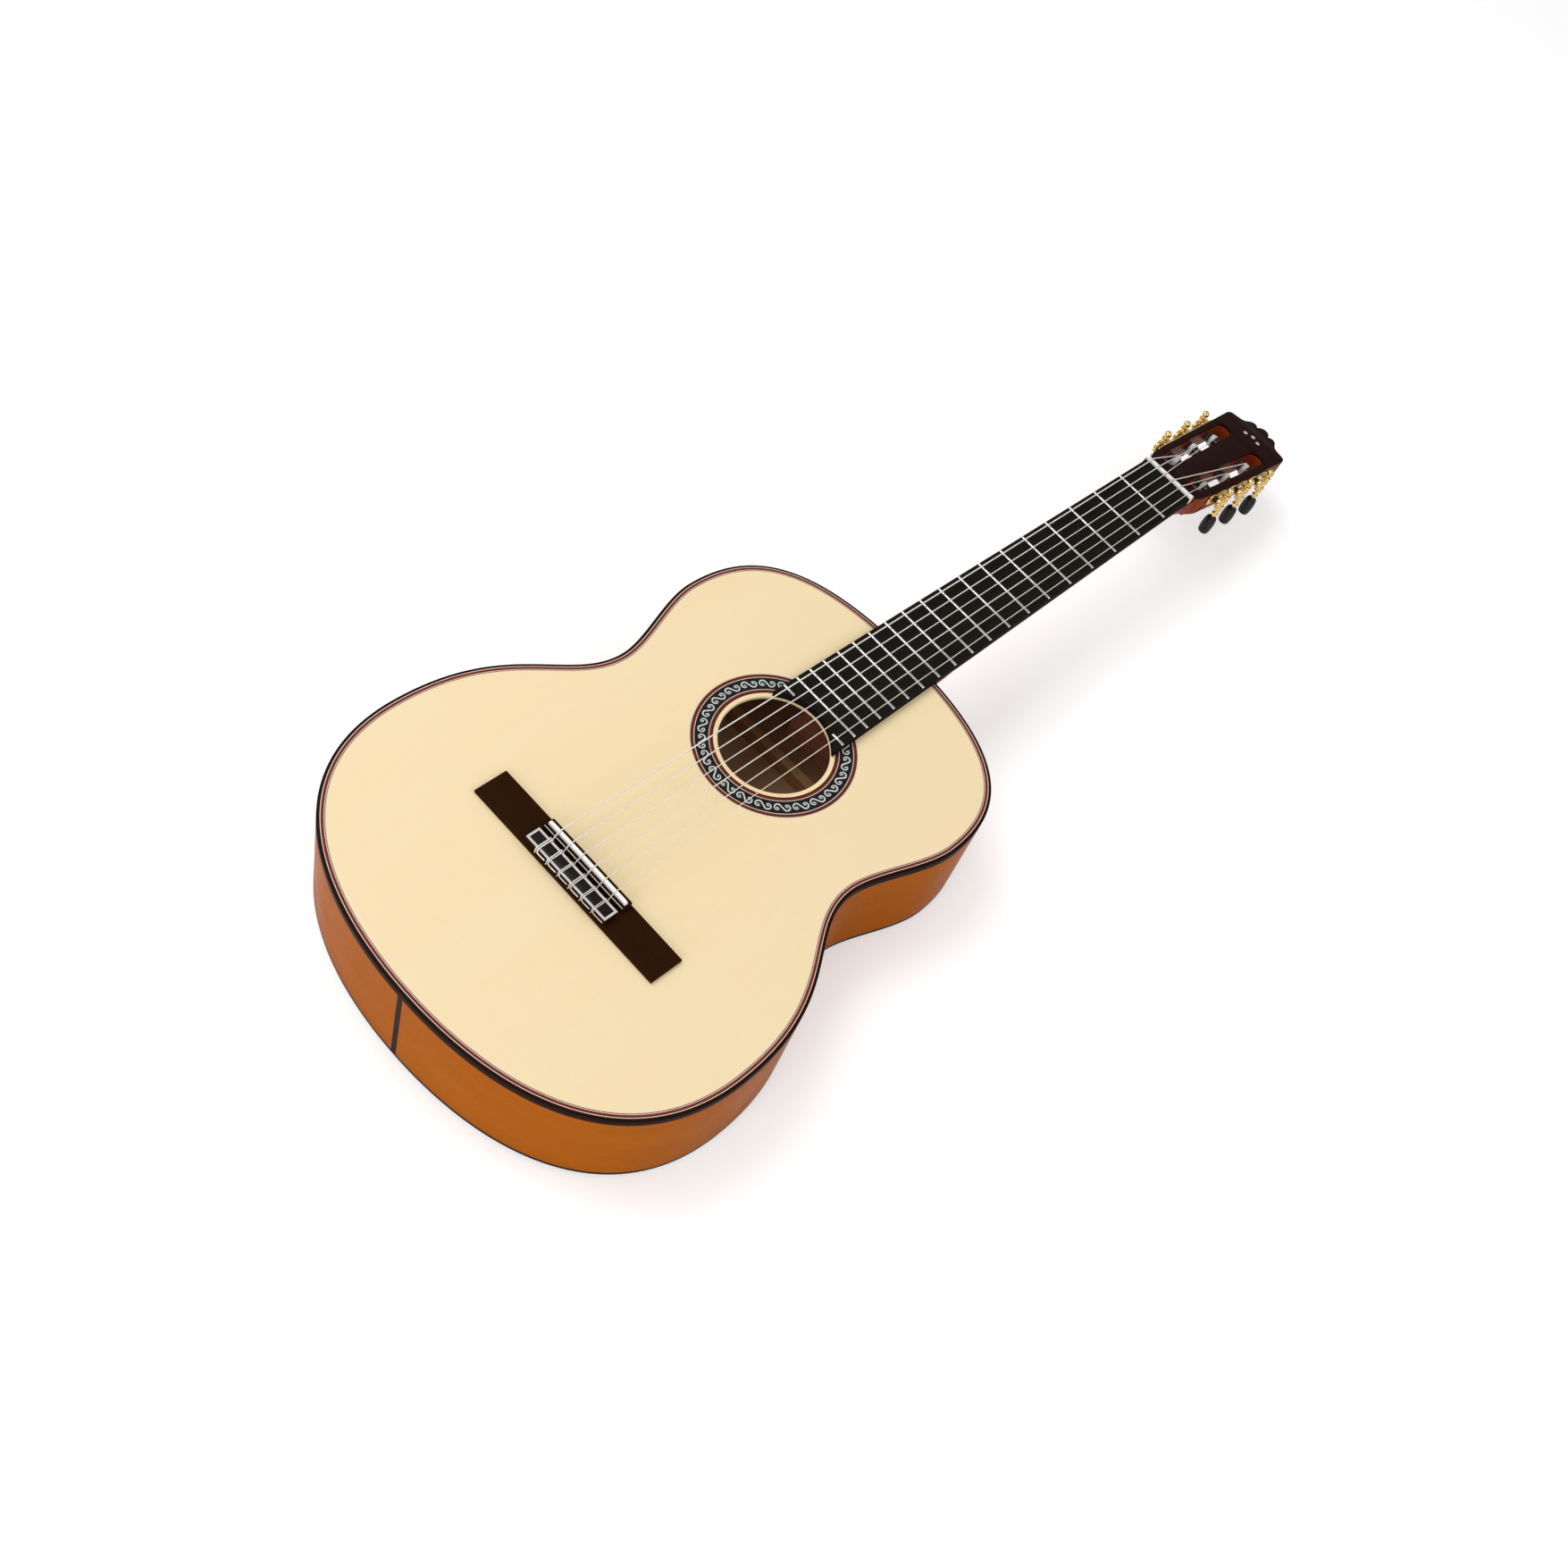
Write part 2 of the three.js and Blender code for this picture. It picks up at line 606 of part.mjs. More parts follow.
// The frame of one row of tuning machines: x outwards from the head's side, y along the side.
function sideMatrix(side) {
  const flare = new THREE.Matrix4().makeRotationZ(-side * HEAD_FLARE);
  return new THREE.Matrix4().makeTranslation(side * headHalfWidthAt(0), 0, 0).multiply(flare);
}

const ROLLER_ORDERS = [...Array(ROLLERS_A_SIDE).keys()];

function rollerY(order) {
  return FIRST_ROLLER + order * ROLLER_SPACING;
}

function slotCutter(side) {
  const outer = -SLOT_OUTER_WALL;
  const middle = outer - SLOT_WIDTH / 2;
  const radius = SLOT_WIDTH / 2;
  const [start, end] = [FIRST_ROLLER - SLOT_BEFORE_ROLLERS, LAST_ROLLER + SLOT_PAST_ROLLERS];
  const shape = new THREE.Shape();
  shape.moveTo(middle - radius, start + radius);
  shape.absarc(middle, start + radius, radius, Math.PI, 2 * Math.PI);
  shape.lineTo(outer, end - radius);
  shape.absarc(middle, end - radius, radius, 0, Math.PI);
  const geometry = prism(shape, -HEAD_THICKNESS - 2, 2, 6);
  return forSide(geometry, side).applyMatrix4(sideMatrix(side));
}

function boreCutters(side) {
  const inner = -(SLOT_OUTER_WALL + SLOT_WIDTH);
  const pinEnd = inner - ROLLER_PIN_LENGTH - RUNNING_GAP;
  return ROLLER_ORDERS.flatMap((order) => {
    const [y, z] = [rollerY(order), -ROLLER_DEPTH];
    const shaft = rodAlongX(ROLLER_SHAFT_RADIUS + RUNNING_GAP, -SLOT_OUTER_WALL - 1, 4, y, z);
    const pin = rodAlongX(ROLLER_PIN_RADIUS + RUNNING_GAP, pinEnd, inner + 1, y, z);
    return [shaft, pin].map((bore) => forSide(bore, side).applyMatrix4(sideMatrix(side)));
  });
}

function nutClearance() {
  const reach = HEAD_WIDTH_AT_CROWN;
  return box(-reach, reach, -HEAD_THICKNESS, HEAD_Y, TOP, TOP + 2 * HEAD_RISE);
}

function neck() {
  const blank = prism(headOutline(), -HEAD_THICKNESS, -HEADPLATE_THICKNESS - SEAT_GAP, 5);
  const cutters = [-1, 1].flatMap((side) => [slotCutter(side), ...boreCutters(side)]);
  const head = cut(blank, ...cutters).applyMatrix4(headMatrix());
  const shaftEnd = HEAD_Y + NECK_OVERLAP_WITH_HEAD;
  const shaft = loft([
    neckSection(JOIN_Y + SEAT_GAP, neckWidthAt(JOIN_Y) / 2, NECK_DEPTH_AT_HEEL),
    neckSection(-60, neckWidthAt(-60) / 2, NECK_DEPTH_AT_NUT + 1),
    neckSection(0, NUT_WIDTH / 2, NECK_DEPTH_AT_NUT),
    neckSection(shaftEnd, NUT_WIDTH / 2, NECK_DEPTH_AT_NUT),
  ]);
  const heelTop = TOP - 6;
  const levels = [0, 0.15, 0.35, 0.55, 0.75, 0.88, 1];
  const heel = loft(levels.map((level) => {
    const z = heelTop * level;
    const widening = neckWidthAt(JOIN_Y) / 2 - 1 - HEEL_HALF_WIDTH_AT_CAP;
    const width = HEEL_HALF_WIDTH_AT_CAP + widening * level ** 1.3;
    const length = HEEL_LENGTH_AT_CAP + (HEEL_LENGTH_AT_NECK - HEEL_LENGTH_AT_CAP) * level ** 2.4;
    return heelSection(z, width, length).map((point) => point.setY(point.y + SEAT_GAP));
  }));
  return piece('neck', cut(join(shaft, heel, head), nutClearance()), 'mahogany');
}

function headplate() {
  const blank = prism(headOutline(), -HEADPLATE_THICKNESS, 0, 5);
  const plate = cut(blank, slotCutter(-1), slotCutter(1)).applyMatrix4(headMatrix());
  return piece('headplate', cut(plate, nutClearance()), 'rosewood');
}

function fingerboard() {
  const shape = new THREE.Shape();
  const end = -fretDistance(FRET_COUNT) - FINGERBOARD_PAST_LAST_FRET;
  shape.moveTo(-NUT_WIDTH / 2, 0);
  shape.lineTo(-neckWidthAt(end) / 2, end);
  shape.lineTo(neckWidthAt(end) / 2, end);
  shape.lineTo(NUT_WIDTH / 2, 0);
  const frets = [];
  const top = TOP + FINGERBOARD_THICKNESS;
  for (let fret = 1; fret <= FRET_COUNT; fret += 1) {
    const y = -fretDistance(fret);
    const crown = new THREE.Shape();
    crown.moveTo(-FRET_CROWN_WIDTH / 2, -0.5);
    crown.lineTo(FRET_CROWN_WIDTH / 2, -0.5);
    crown.lineTo(FRET_CROWN_WIDTH / 2, 0.2);
    crown.quadraticCurveTo(0, FRET_HEIGHT * 2 - 0.2, -FRET_CROWN_WIDTH / 2, 0.2);
    const half = neckWidthAt(y) / 2 - SEAT_GAP;
    const bar = prism(crown, -half, half, 4);
    frets.push(bar.rotateX(Math.PI / 2).rotateZ(Math.PI / 2).translate(0, y, top));
  }
  const board = join(prism(shape, TOP, top), ...frets);
  const radius = SOUNDHOLE_RADIUS + FINGERBOARD_END_CLEARANCE;
  const bite = disc(0, HOLE_Y, radius, TOP - 1, top + 3, HOLE_SEGMENTS);
  return piece('fingerboard', cut(board, bite), 'ebony');
}

function nut() {
  const half = NUT_WIDTH / 2;
  return piece('nut', box(-half, half, 0, NUT_THICKNESS, TOP, TOP + NUT_HEIGHT), 'bone');
}

// ---------------------------------------------------------------- bridge

const SADDLE_BLOCK_FRONT = SADDLE_Y + SADDLE_BLOCK_WIDTH / 2;
const BRIDGE_FRONT = SADDLE_BLOCK_FRONT + BRIDGE_FRONT_MARGIN;
const TIE_BLOCK_FRONT = SADDLE_BLOCK_FRONT - SADDLE_BLOCK_WIDTH - TIE_CHANNEL_WIDTH;
const TIE_BLOCK_BACK = TIE_BLOCK_FRONT - TIE_BLOCK_WIDTH;
const BRIDGE_BACK = TIE_BLOCK_BACK - BRIDGE_BACK_MARGIN;

function bridge() {
  const half = BRIDGE_CENTRE_LENGTH / 2;
  const reach = BRIDGE_LENGTH / 2;
  const wings = box(-reach, reach, BRIDGE_BACK, BRIDGE_FRONT, TOP, TOP + BRIDGE_WING_HEIGHT);
  const low = TOP + 1;
  const saddleBack = SADDLE_BLOCK_FRONT - SADDLE_BLOCK_WIDTH;
  const saddleBlock = box(-half, half, saddleBack, SADDLE_BLOCK_FRONT, low, TOP + SADDLE_BLOCK_HEIGHT);
  const channel = box(-half, half, TIE_BLOCK_FRONT - 1, saddleBack + 1, low, TOP + TIE_CHANNEL_HEIGHT);
  const tieBlock = box(-half, half, TIE_BLOCK_BACK, TIE_BLOCK_FRONT, low, TOP + TIE_BLOCK_HEIGHT);
  const slotHalf = SADDLE_LENGTH / 2 + SEAT_GAP;
  const slotWidth = SADDLE_THICKNESS / 2 + SEAT_GAP;
  const slot = box(
    -slotHalf, slotHalf, SADDLE_Y - slotWidth, SADDLE_Y + slotWidth,
    TOP + SADDLE_SLOT_FLOOR, TOP + SADDLE_TOP,
  );
  const holes = STRING_DIAMETERS.map((diameter, index) => {
    const radius = diameter / 2 + RUNNING_GAP;
    const hole = new THREE.CylinderGeometry(radius, radius, BRIDGE_FRONT - BRIDGE_BACK, STRING_SIDES);
    const x = stringX(index, STRING_SPREAD_AT_SADDLE);
    return hole.translate(x, TIE_BLOCK_FRONT - TIE_BLOCK_WIDTH / 2, TOP + TIE_HOLE_HEIGHT);
  });
  const clearOfSaddle = box(
    -half, half, saddleBack - 1, SADDLE_BLOCK_FRONT + 1,
    TOP + TIE_CHANNEL_HEIGHT, TOP + SADDLE_TOP,
  );
  const drilled = cut(join(wings, channel, tieBlock), ...holes, clearOfSaddle);
  return piece('bridge', cut(join(drilled, saddleBlock), slot), 'rosewood');
}

function saddle() {
  const half = SADDLE_LENGTH / 2;
  const [y0, y1] = [SADDLE_Y - SADDLE_THICKNESS / 2, SADDLE_Y + SADDLE_THICKNESS / 2];
  return piece('saddle', box(-half, half, y0, y1, TOP + SADDLE_SLOT_FLOOR, TOP + SADDLE_TOP), 'bone');
}

// ---------------------------------------------------------------- strings

// A curve that runs straight from each given point to the next.
class Route extends THREE.Curve {
  constructor(points) {
    super();
    this.points = points;
  }

  getPoint(t, target = new THREE.Vector3()) {
    const last = this.points.length - 1;
    const start = Math.min(Math.floor(t * last), last - 1);
    return target.lerpVectors(this.points[start], this.points[start + 1], t * last - start);
  }

  getPointAt(t, target) {
    return this.getPoint(t, target);
  }

  getTangentAt(t, target = new THREE.Vector3()) {
    const last = this.points.length - 1;
    const here = Math.round(t * last);
    const before = this.points[Math.max(here - 1, 0)];
    const after = this.points[Math.min(here + 1, last)];
    const [into, out] = [this.points[here].clone().sub(before), after.clone().sub(this.points[here])];
    return target.addVectors(into.normalize(), out.normalize()).normalize();
  }
}

// Strings 3 and 4 go to the rollers nearest the crown, 1 and 6 to those nearest the nut.
function rollerOfString(index) {
  const side = index < 3 ? -1 : 1;
  return { side, order: side < 0 ? index : 5 - index };
}

// Where a string lands on its roller, measured inwards from the head's side.
const LANDING_INSET = [12.4, 14, 15.5];

function stringRoute(index) {
  const radius = STRING_DIAMETERS[index] / 2;
  const lift = radius + STRING_CLEARANCE;
  const { side, order } = rollerOfString(index);
  const atSaddle = stringX(index, STRING_SPREAD_AT_SADDLE);
  const atNut = stringX(index, STRING_SPREAD_AT_NUT);
  const saddleTop = TOP + SADDLE_TOP + lift;
  const nutTop = TOP + NUT_HEIGHT + lift;
  const landing = new THREE.Vector3(
    -side * LANDING_INSET[order], rollerY(order), -ROLLER_DEPTH + ROLLER_RADIUS + radius + RUNNING_GAP,
  );
  landing.applyMatrix4(sideMatrix(side)).applyMatrix4(headMatrix());
  return [
    new THREE.Vector3(atSaddle, TIE_BLOCK_BACK - 2, TOP + TIE_HOLE_HEIGHT),
    new THREE.Vector3(atSaddle, TIE_BLOCK_FRONT + 0.5, TOP + TIE_HOLE_HEIGHT),
    new THREE.Vector3(atSaddle, SADDLE_Y - SADDLE_THICKNESS / 2 - 0.4, saddleTop - 0.1),
    new THREE.Vector3(atSaddle, SADDLE_Y + SADDLE_THICKNESS / 2, saddleTop),
    new THREE.Vector3(atNut, 0.5, nutTop),
    new THREE.Vector3(atNut, NUT_THICKNESS + 0.4, nutTop - 0.1),
    landing,
  ];
}

function strings() {
  return STRING_DIAMETERS.map((diameter, index) => {
    const points = stringRoute(index);
    const section = new THREE.Shape();
    for (let side = 0; side < STRING_SIDES; side += 1) {
      const turn = (2 * Math.PI * side) / STRING_SIDES;
      const [x, y] = [(diameter / 2) * Math.cos(turn), (diameter / 2) * Math.sin(turn)];
      if (side === 0) section.moveTo(x, y);
      else section.lineTo(x, y);
    }
    const tube = new THREE.ExtrudeGeometry(section, {
      steps: points.length - 1, extrudePath: new Route(points), curveSegments: 1,
    });
    return piece(`string_${6 - index}`, tube, index < 3 ? 'silverWound' : 'nylon');
  });
}

// ---------------------------------------------------------------- tuning machines

function gearShape() {
  const shape = new THREE.Shape();
  const pitchAngle = (2 * Math.PI) / GEAR_TEETH;
  const corners = [
    [GEAR_ROOT_RADIUS, -0.3], [GEAR_OUTER_RADIUS, -0.13], [GEAR_OUTER_RADIUS, 0.13], [GEAR_ROOT_RADIUS, 0.3],
  ];
  for (let tooth = 0; tooth < GEAR_TEETH; tooth += 1) {
    corners.forEach(([radius, offset], order) => {
      const turn = (tooth + offset) * pitchAngle;
      const [x, y] = [radius * Math.cos(turn), radius * Math.sin(turn)];
      if (tooth === 0 && order === 0) shape.moveTo(x, y);
      else shape.lineTo(x, y);
    });
  }
  const bore = new THREE.Path();
  bore.absarc(0, 0, GEAR_BORE_RADIUS + SEAT_GAP / 3, 0, 2 * Math.PI, true);
  shape.holes.push(bore);
  return shape;
}

function wormGear(order, side, number) {
  const gear = prism(gearShape(), -GEAR_FACE_WIDTH / 2, GEAR_FACE_WIDTH / 2);
  const axes = new THREE.Matrix4().makeBasis(
    new THREE.Vector3(0, 1, 0), new THREE.Vector3(0, 0, 1), new THREE.Vector3(1, 0, 0),
  );
  gear.applyMatrix4(axes).translate(GEAR_OFFSET, rollerY(order), -ROLLER_DEPTH);
  return piece(`worm_gear_${number}`, forSide(gear, side), 'gold');
}

function stringRoller(order, side, number) {
  const outer = -SLOT_OUTER_WALL - RUNNING_GAP;
  const inner = -(SLOT_OUTER_WALL + SLOT_WIDTH) + RUNNING_GAP;
  const [y, z] = [rollerY(order), -ROLLER_DEPTH];
  const drum = rodAlongX(ROLLER_RADIUS, inner, outer, y, z);
  const shaftEnd = GEAR_OFFSET - GEAR_FACE_WIDTH / 2 - SEAT_GAP / 3;
  const shaft = rodAlongX(ROLLER_SHAFT_RADIUS, outer - 1, shaftEnd, y, z);
  const tip = rodAlongX(GEAR_BORE_RADIUS, shaftEnd - 1, GEAR_OFFSET + GEAR_FACE_WIDTH / 2 + 0.6, y, z);
  const pin = rodAlongX(ROLLER_PIN_RADIUS, inner - ROLLER_PIN_LENGTH, inner + 1, y, z);
  return piece(`string_roller_${number}`, forSide(join(drum, shaft, tip, pin), side), 'blackPlastic');
}

// A single-start thread: a trapezium carried round the worm's core.
function wormThread() {
  const rings = [];
  const steps = WORM_TURNS * WORM_STEPS_PER_TURN;
  for (let step = 0; step <= steps; step += 1) {
    const turn = (2 * Math.PI * step) / WORM_STEPS_PER_TURN;
    const height = GEAR_PITCH * (step / WORM_STEPS_PER_TURN - WORM_TURNS / 2);
    const fade = Math.min(1, step / 3, (steps - step) / 3);
    const crest = WORM_CORE_RADIUS + 0.1 + (WORM_THREAD_RADIUS - WORM_CORE_RADIUS - 0.1) * fade;
    const root = WORM_CORE_RADIUS - 0.5;
    rings.push([[root, -0.55], [crest, -0.25], [crest, 0.25], [root, 0.55]].map(([radius, rise]) => (
      new THREE.Vector3(radius * Math.cos(turn), radius * Math.sin(turn), height + rise)
    )));
  }
  return loft(rings);
}

function wormShaft(order, side, number) {
  const journalTop = BRACKET_OFFSET + BRACKET_THICKNESS / 2 + RUNNING_GAP;
  const wormHalf = BRACKET_OFFSET - BRACKET_THICKNESS / 2 - RUNNING_GAP;
  const finial = journalTop + FINIAL_RADIUS * 0.8;
  const tip = -(BUTTON_START + BUTTON_SOCKET_DEPTH - ROLLER_DEPTH);
  const shoulder = -(BUTTON_START - ROLLER_DEPTH) + SEAT_GAP;
  const spindle = turned([
    [0, tip], [JOURNAL_RADIUS, tip], [JOURNAL_RADIUS, shoulder], [COLLAR_RADIUS, shoulder],
    [JOURNAL_RADIUS, shoulder + 2.4], [COLLAR_RADIUS, -journalTop - 2], [COLLAR_RADIUS, -journalTop],
    [JOURNAL_RADIUS, -journalTop],
    [JOURNAL_RADIUS, -wormHalf], [WORM_CORE_RADIUS, -wormHalf],
    [WORM_CORE_RADIUS, wormHalf], [JOURNAL_RADIUS, wormHalf], [JOURNAL_RADIUS, journalTop],
    [FINIAL_RADIUS * 0.8, journalTop + 0.3], [FINIAL_RADIUS, finial], [FINIAL_RADIUS * 0.7, finial + 1.9],
    [0, finial + 2.6],
  ], 10);
  const worm = join(spindle, wormThread());
  worm.translate(GEAR_OFFSET, rollerY(order) + WORM_CENTRE_DISTANCE, -ROLLER_DEPTH);
  return piece(`worm_shaft_${number}`, forSide(worm, side), 'gold');
}

function tunerButton(order, side, number) {
  const socket = JOURNAL_RADIUS + SEAT_GAP / 3;
  const top = -BUTTON_START;
  const bottom = top - BUTTON_LENGTH;
  const floor = top - BUTTON_SOCKET_DEPTH - SEAT_GAP;
  const button = turned([
    [0, bottom], [BUTTON_RADIUS * 0.72, bottom], [BUTTON_RADIUS * 0.9, bottom + 2],
    [BUTTON_RADIUS, bottom + BUTTON_LENGTH * 0.4], [BUTTON_RADIUS * 0.97, top - BUTTON_LENGTH * 0.3],
    [BUTTON_RADIUS * 0.75, top - 1.6], [BUTTON_RADIUS * 0.55, top], [socket, top],
    [socket, floor], [0, floor],
  ], 10);
  button.translate(GEAR_OFFSET, rollerY(order) + WORM_CENTRE_DISTANCE, 0);
  return piece(`tuner_button_${number}`, forSide(button, side), 'blackPlastic');
}

// The engraved side plate with a pair of bearing ears for each worm.
function tunerPlate(side, name) {
  const [low, high] = [SEAT_GAP, SEAT_GAP + PLATE_THICKNESS];
  const half = PLATE_HEIGHT / 2;
  const [start, end] = [FIRST_ROLLER - PLATE_BEFORE_ROLLERS, LAST_ROLLER + PLATE_PAST_ROLLERS];
  const strip = box(low, high, start, end, -ROLLER_DEPTH - half, -ROLLER_DEPTH + half);
  const ears = [];
  const bores = [];
  for (const order of ROLLER_ORDERS) {
    const wormY = rollerY(order) + WORM_CENTRE_DISTANCE;
    const [bearing, journal] = [ROLLER_SHAFT_RADIUS + RUNNING_GAP, JOURNAL_RADIUS + RUNNING_GAP];
    bores.push(
      rodAlongX(bearing, low - 1, high + 1, rollerY(order), -ROLLER_DEPTH),
      disc(GEAR_OFFSET, wormY, journal, -ROLLER_DEPTH - 9, -ROLLER_DEPTH + 9, 10),
    );
    [-1, 1].forEach((end) => {
      const middle = -ROLLER_DEPTH + end * BRACKET_OFFSET;
      const [z0, z1] = [middle - BRACKET_THICKNESS / 2, middle + BRACKET_THICKNESS / 2];
      const [y0, y1] = [wormY - BRACKET_WIDTH / 2, wormY + BRACKET_WIDTH / 2];
      ears.push(box(low + 0.5, GEAR_OFFSET + BRACKET_WIDTH / 2, y0, y1, z0, z1));
    });
  }
  return piece(name, forSide(cut(join(strip, ...ears), ...bores), side), 'gold');
}

// Machines are numbered like the strings: 1 is the treble machine nearest the nut, 6 the bass one.
function tuningMachines(side) {
  const group = new THREE.Group();
  group.applyMatrix4(sideMatrix(side));
  group.add(tunerPlate(side, side < 0 ? 'tuner_plate_bass' : 'tuner_plate_treble'));
  for (const order of ROLLER_ORDERS) {
    const number = side < 0 ? 6 - order : 1 + order;
    group.add(
      stringRoller(order, side, number),
      wormGear(order, side, number),
      wormShaft(order, side, number),
      tunerButton(order, side, number),
    );
  }
  return group;
}

// ---------------------------------------------------------------- assembly

const head = new THREE.Group();
head.applyMatrix4(headMatrix());
head.add(tuningMachines(-1), tuningMachines(1));

const guitar = new THREE.Group();
guitar.add(
  soundboard(), rosette(), backPlate(), ...sides(), ...bindings(), ...linings(), ...blocks(), ...braces(),
  neck(), headplate(), fingerboard(), nut(), bridge(), saddle(), ...strings(), head,
);
guitar.position.y = -(TAIL_Y + JOIN_Y) / 2;

const model = new THREE.Group();
model.add(guitar);
export default model;
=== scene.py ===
"""The looks of a classical guitar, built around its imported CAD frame.

Each piece is a surface worked out on a grid of points in millimetres, then set down in the
row frame in metres: +Y runs up the neck, +X is the treble side, +Z rises out of the soundboard.
"""

import json
import math

import bmesh
import bpy
import numpy as np
from bpy.props import FloatProperty, FloatVectorProperty, IntProperty, PointerProperty
from mathutils import Matrix, Vector


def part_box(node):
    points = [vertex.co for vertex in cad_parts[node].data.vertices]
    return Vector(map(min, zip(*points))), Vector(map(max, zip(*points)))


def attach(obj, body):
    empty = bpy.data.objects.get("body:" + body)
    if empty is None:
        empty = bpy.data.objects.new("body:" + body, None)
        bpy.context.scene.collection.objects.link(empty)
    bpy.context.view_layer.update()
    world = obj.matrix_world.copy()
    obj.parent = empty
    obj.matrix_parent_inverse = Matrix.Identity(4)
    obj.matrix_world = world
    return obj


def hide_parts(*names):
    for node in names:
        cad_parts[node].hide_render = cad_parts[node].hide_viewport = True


bl_info = {
    "name": "Classical Guitar",
    "version": (1, 0, 0),
    "blender": (4, 5, 0),
    "location": "View3D > Sidebar > Guitar",
    "description": "Builds the visible pieces of a classical guitar around its CAD frame",
    "category": "Add Mesh",
}

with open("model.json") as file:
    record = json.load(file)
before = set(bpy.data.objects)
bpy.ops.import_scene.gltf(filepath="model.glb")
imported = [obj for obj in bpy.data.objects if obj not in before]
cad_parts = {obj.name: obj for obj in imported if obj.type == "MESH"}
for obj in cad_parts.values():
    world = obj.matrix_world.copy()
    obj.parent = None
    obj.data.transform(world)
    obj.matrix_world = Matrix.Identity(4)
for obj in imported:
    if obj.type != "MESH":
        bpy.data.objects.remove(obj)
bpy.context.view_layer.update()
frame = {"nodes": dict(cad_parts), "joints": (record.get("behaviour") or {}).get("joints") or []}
MM = 0.001
ROOT = "guitar"


def box_mm(node):
    """The lowest and highest corners of a CAD node, in millimetres."""
    low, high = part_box(node)
    return np.array(low) / MM, np.array(high) / MM


BODY_LOW, BODY_HIGH = box_mm("binding_top")
BACK_LOW, BACK_HIGH = box_mm("binding_back")
BOARD_LOW = box_mm("fingerboard")[0]
NUT_LOW, NUT_HIGH = box_mm("nut")
SADDLE_LOW, SADDLE_HIGH = box_mm("saddle")
BRIDGE_LOW, BRIDGE_HIGH = box_mm("bridge")
ROSETTE_LOW, ROSETTE_HIGH = box_mm("rosette")
PLATE_LOW, PLATE_HIGH = box_mm("soundboard")
GRAFT_LOW, GRAFT_HIGH = box_mm("end_graft")

TOP = PLATE_HIGH[2]
TAIL_Y = BODY_LOW[1]
JOIN_Y = BODY_HIGH[1]
NUT_Y = NUT_LOW[1]
HOLE_Y = (ROSETTE_LOW[1] + ROSETTE_HIGH[1]) / 2
SCALE_LENGTH = (NUT_Y - JOIN_Y) * 2
SIDE_THICKNESS = 2.2
ROSETTE_DEPTH = ROSETTE_HIGH[2] - ROSETTE_LOW[2]
ROSETTE_FROM_HOLE_EDGE = 3.4
STRING_COUNT = 6
FRET_COUNT = 19
FINGERBOARD_THICKNESS = 6.5


# ---------------------------------------------------------------- sizes and colours

def length(name, description, default):
    """A length given in millimetres, stored in metres."""
    return FloatProperty(name=name, description=description, default=default * MM, unit="LENGTH")


def plain_number(name, description, default):
    """A plain number that is a part of some whole."""
    return FloatProperty(name=name, description=description, default=default, subtype="FACTOR")


def colour(name, description, default):
    """A colour given as it looks on screen, stored as linear light."""
    value = [linear(part / 255) for part in default]
    return FloatVectorProperty(
        name=name, description=description, default=value, subtype="COLOR", size=3, min=0, max=1,
    )


def linear(part):
    """One part of a screen colour as linear light."""
    return part / 12.92 if part <= 0.04045 else ((part + 0.055) / 1.055) ** 2.4


class GuitarBodyLook(bpy.types.PropertyGroup):
    waist: length("Waist", "Width of the body at its waist", 249)
    upper_bout: length("Upper bout", "Width of the body at its upper bout", 291)
    lower_bout_place: length("Lower bout from tail", "Where the body is widest", 136)
    waist_place: length("Waist from tail", "Where the body is narrowest", 299)
    upper_bout_place: length("Upper bout from tail", "Where the upper bout is widest", 386)
    binding_width: length("Binding width", "Width of the binding on the face", 2.4)
    rounding: length("Edge rounding", "Radius of the binding's outer edge", 1.1)
    hole_radius: length("Soundhole radius", "Radius of the soundhole", 42.3)
    spruce: colour("Spruce", "Colour of the soundboard", (243, 222, 180))
    cypress: colour("Cypress", "Colour of the back and sides", (178, 98, 4))
    binding: colour("Binding", "Colour of the bindings", (38, 20, 15))
    purfling: colour("Purfling band", "Colour of the wide purfling band", (118, 52, 38))
    maple: colour("Maple", "Colour of the pale lines", (226, 208, 190))


class GuitarRosetteLook(bpy.types.PropertyGroup):
    scrolls: IntProperty(
        name="Scrolls", description="How many scrolls run round", default=24, subtype="UNSIGNED")
    scroll_length: length("Scroll length", "Length of one scroll along the ring", 13.9)
    scroll_height: length("Scroll height", "Height of one scroll across the ring", 6.9)
    scroll_stroke: length("Scroll stroke", "Widest stroke of a scroll", 1.15)
    ground: colour("Ground", "Colour of the ring's dark ground", (16, 15, 14))
    inlay: colour("Inlay", "Colour of the scrolls", (214, 218, 214))
    band: colour("Band", "Colour of the ring's outer bands", (112, 50, 34))


class GuitarNeckLook(bpy.types.PropertyGroup):
    heel_width: length("Heel width", "Half width of the heel at its cap", 12)
    heel_length: length("Heel length", "Length of the heel at its cap", 24)
    heel_reach: length("Heel reach", "Length of the heel where it joins the neck", 62)
    fret_width: length("Fret width", "Width of a fret's crown", 2.3)
    fret_height: length("Fret height", "Height of a fret's crown", 1.0)
    mahogany: colour("Mahogany", "Colour of the neck", (140, 56, 22))
    ebony: colour("Ebony", "Colour of the fingerboard", (33, 31, 27))
    headplate: colour("Headplate", "Colour of the headplate", (38, 18, 14))
    nickel: colour("Nickel silver", "Colour of the frets", (226, 222, 220))
    bone: colour("Bone", "Colour of the nut and saddle", (252, 250, 245))
    pearl: colour("Pearl", "Colour of the head's dots", (232, 205, 184))


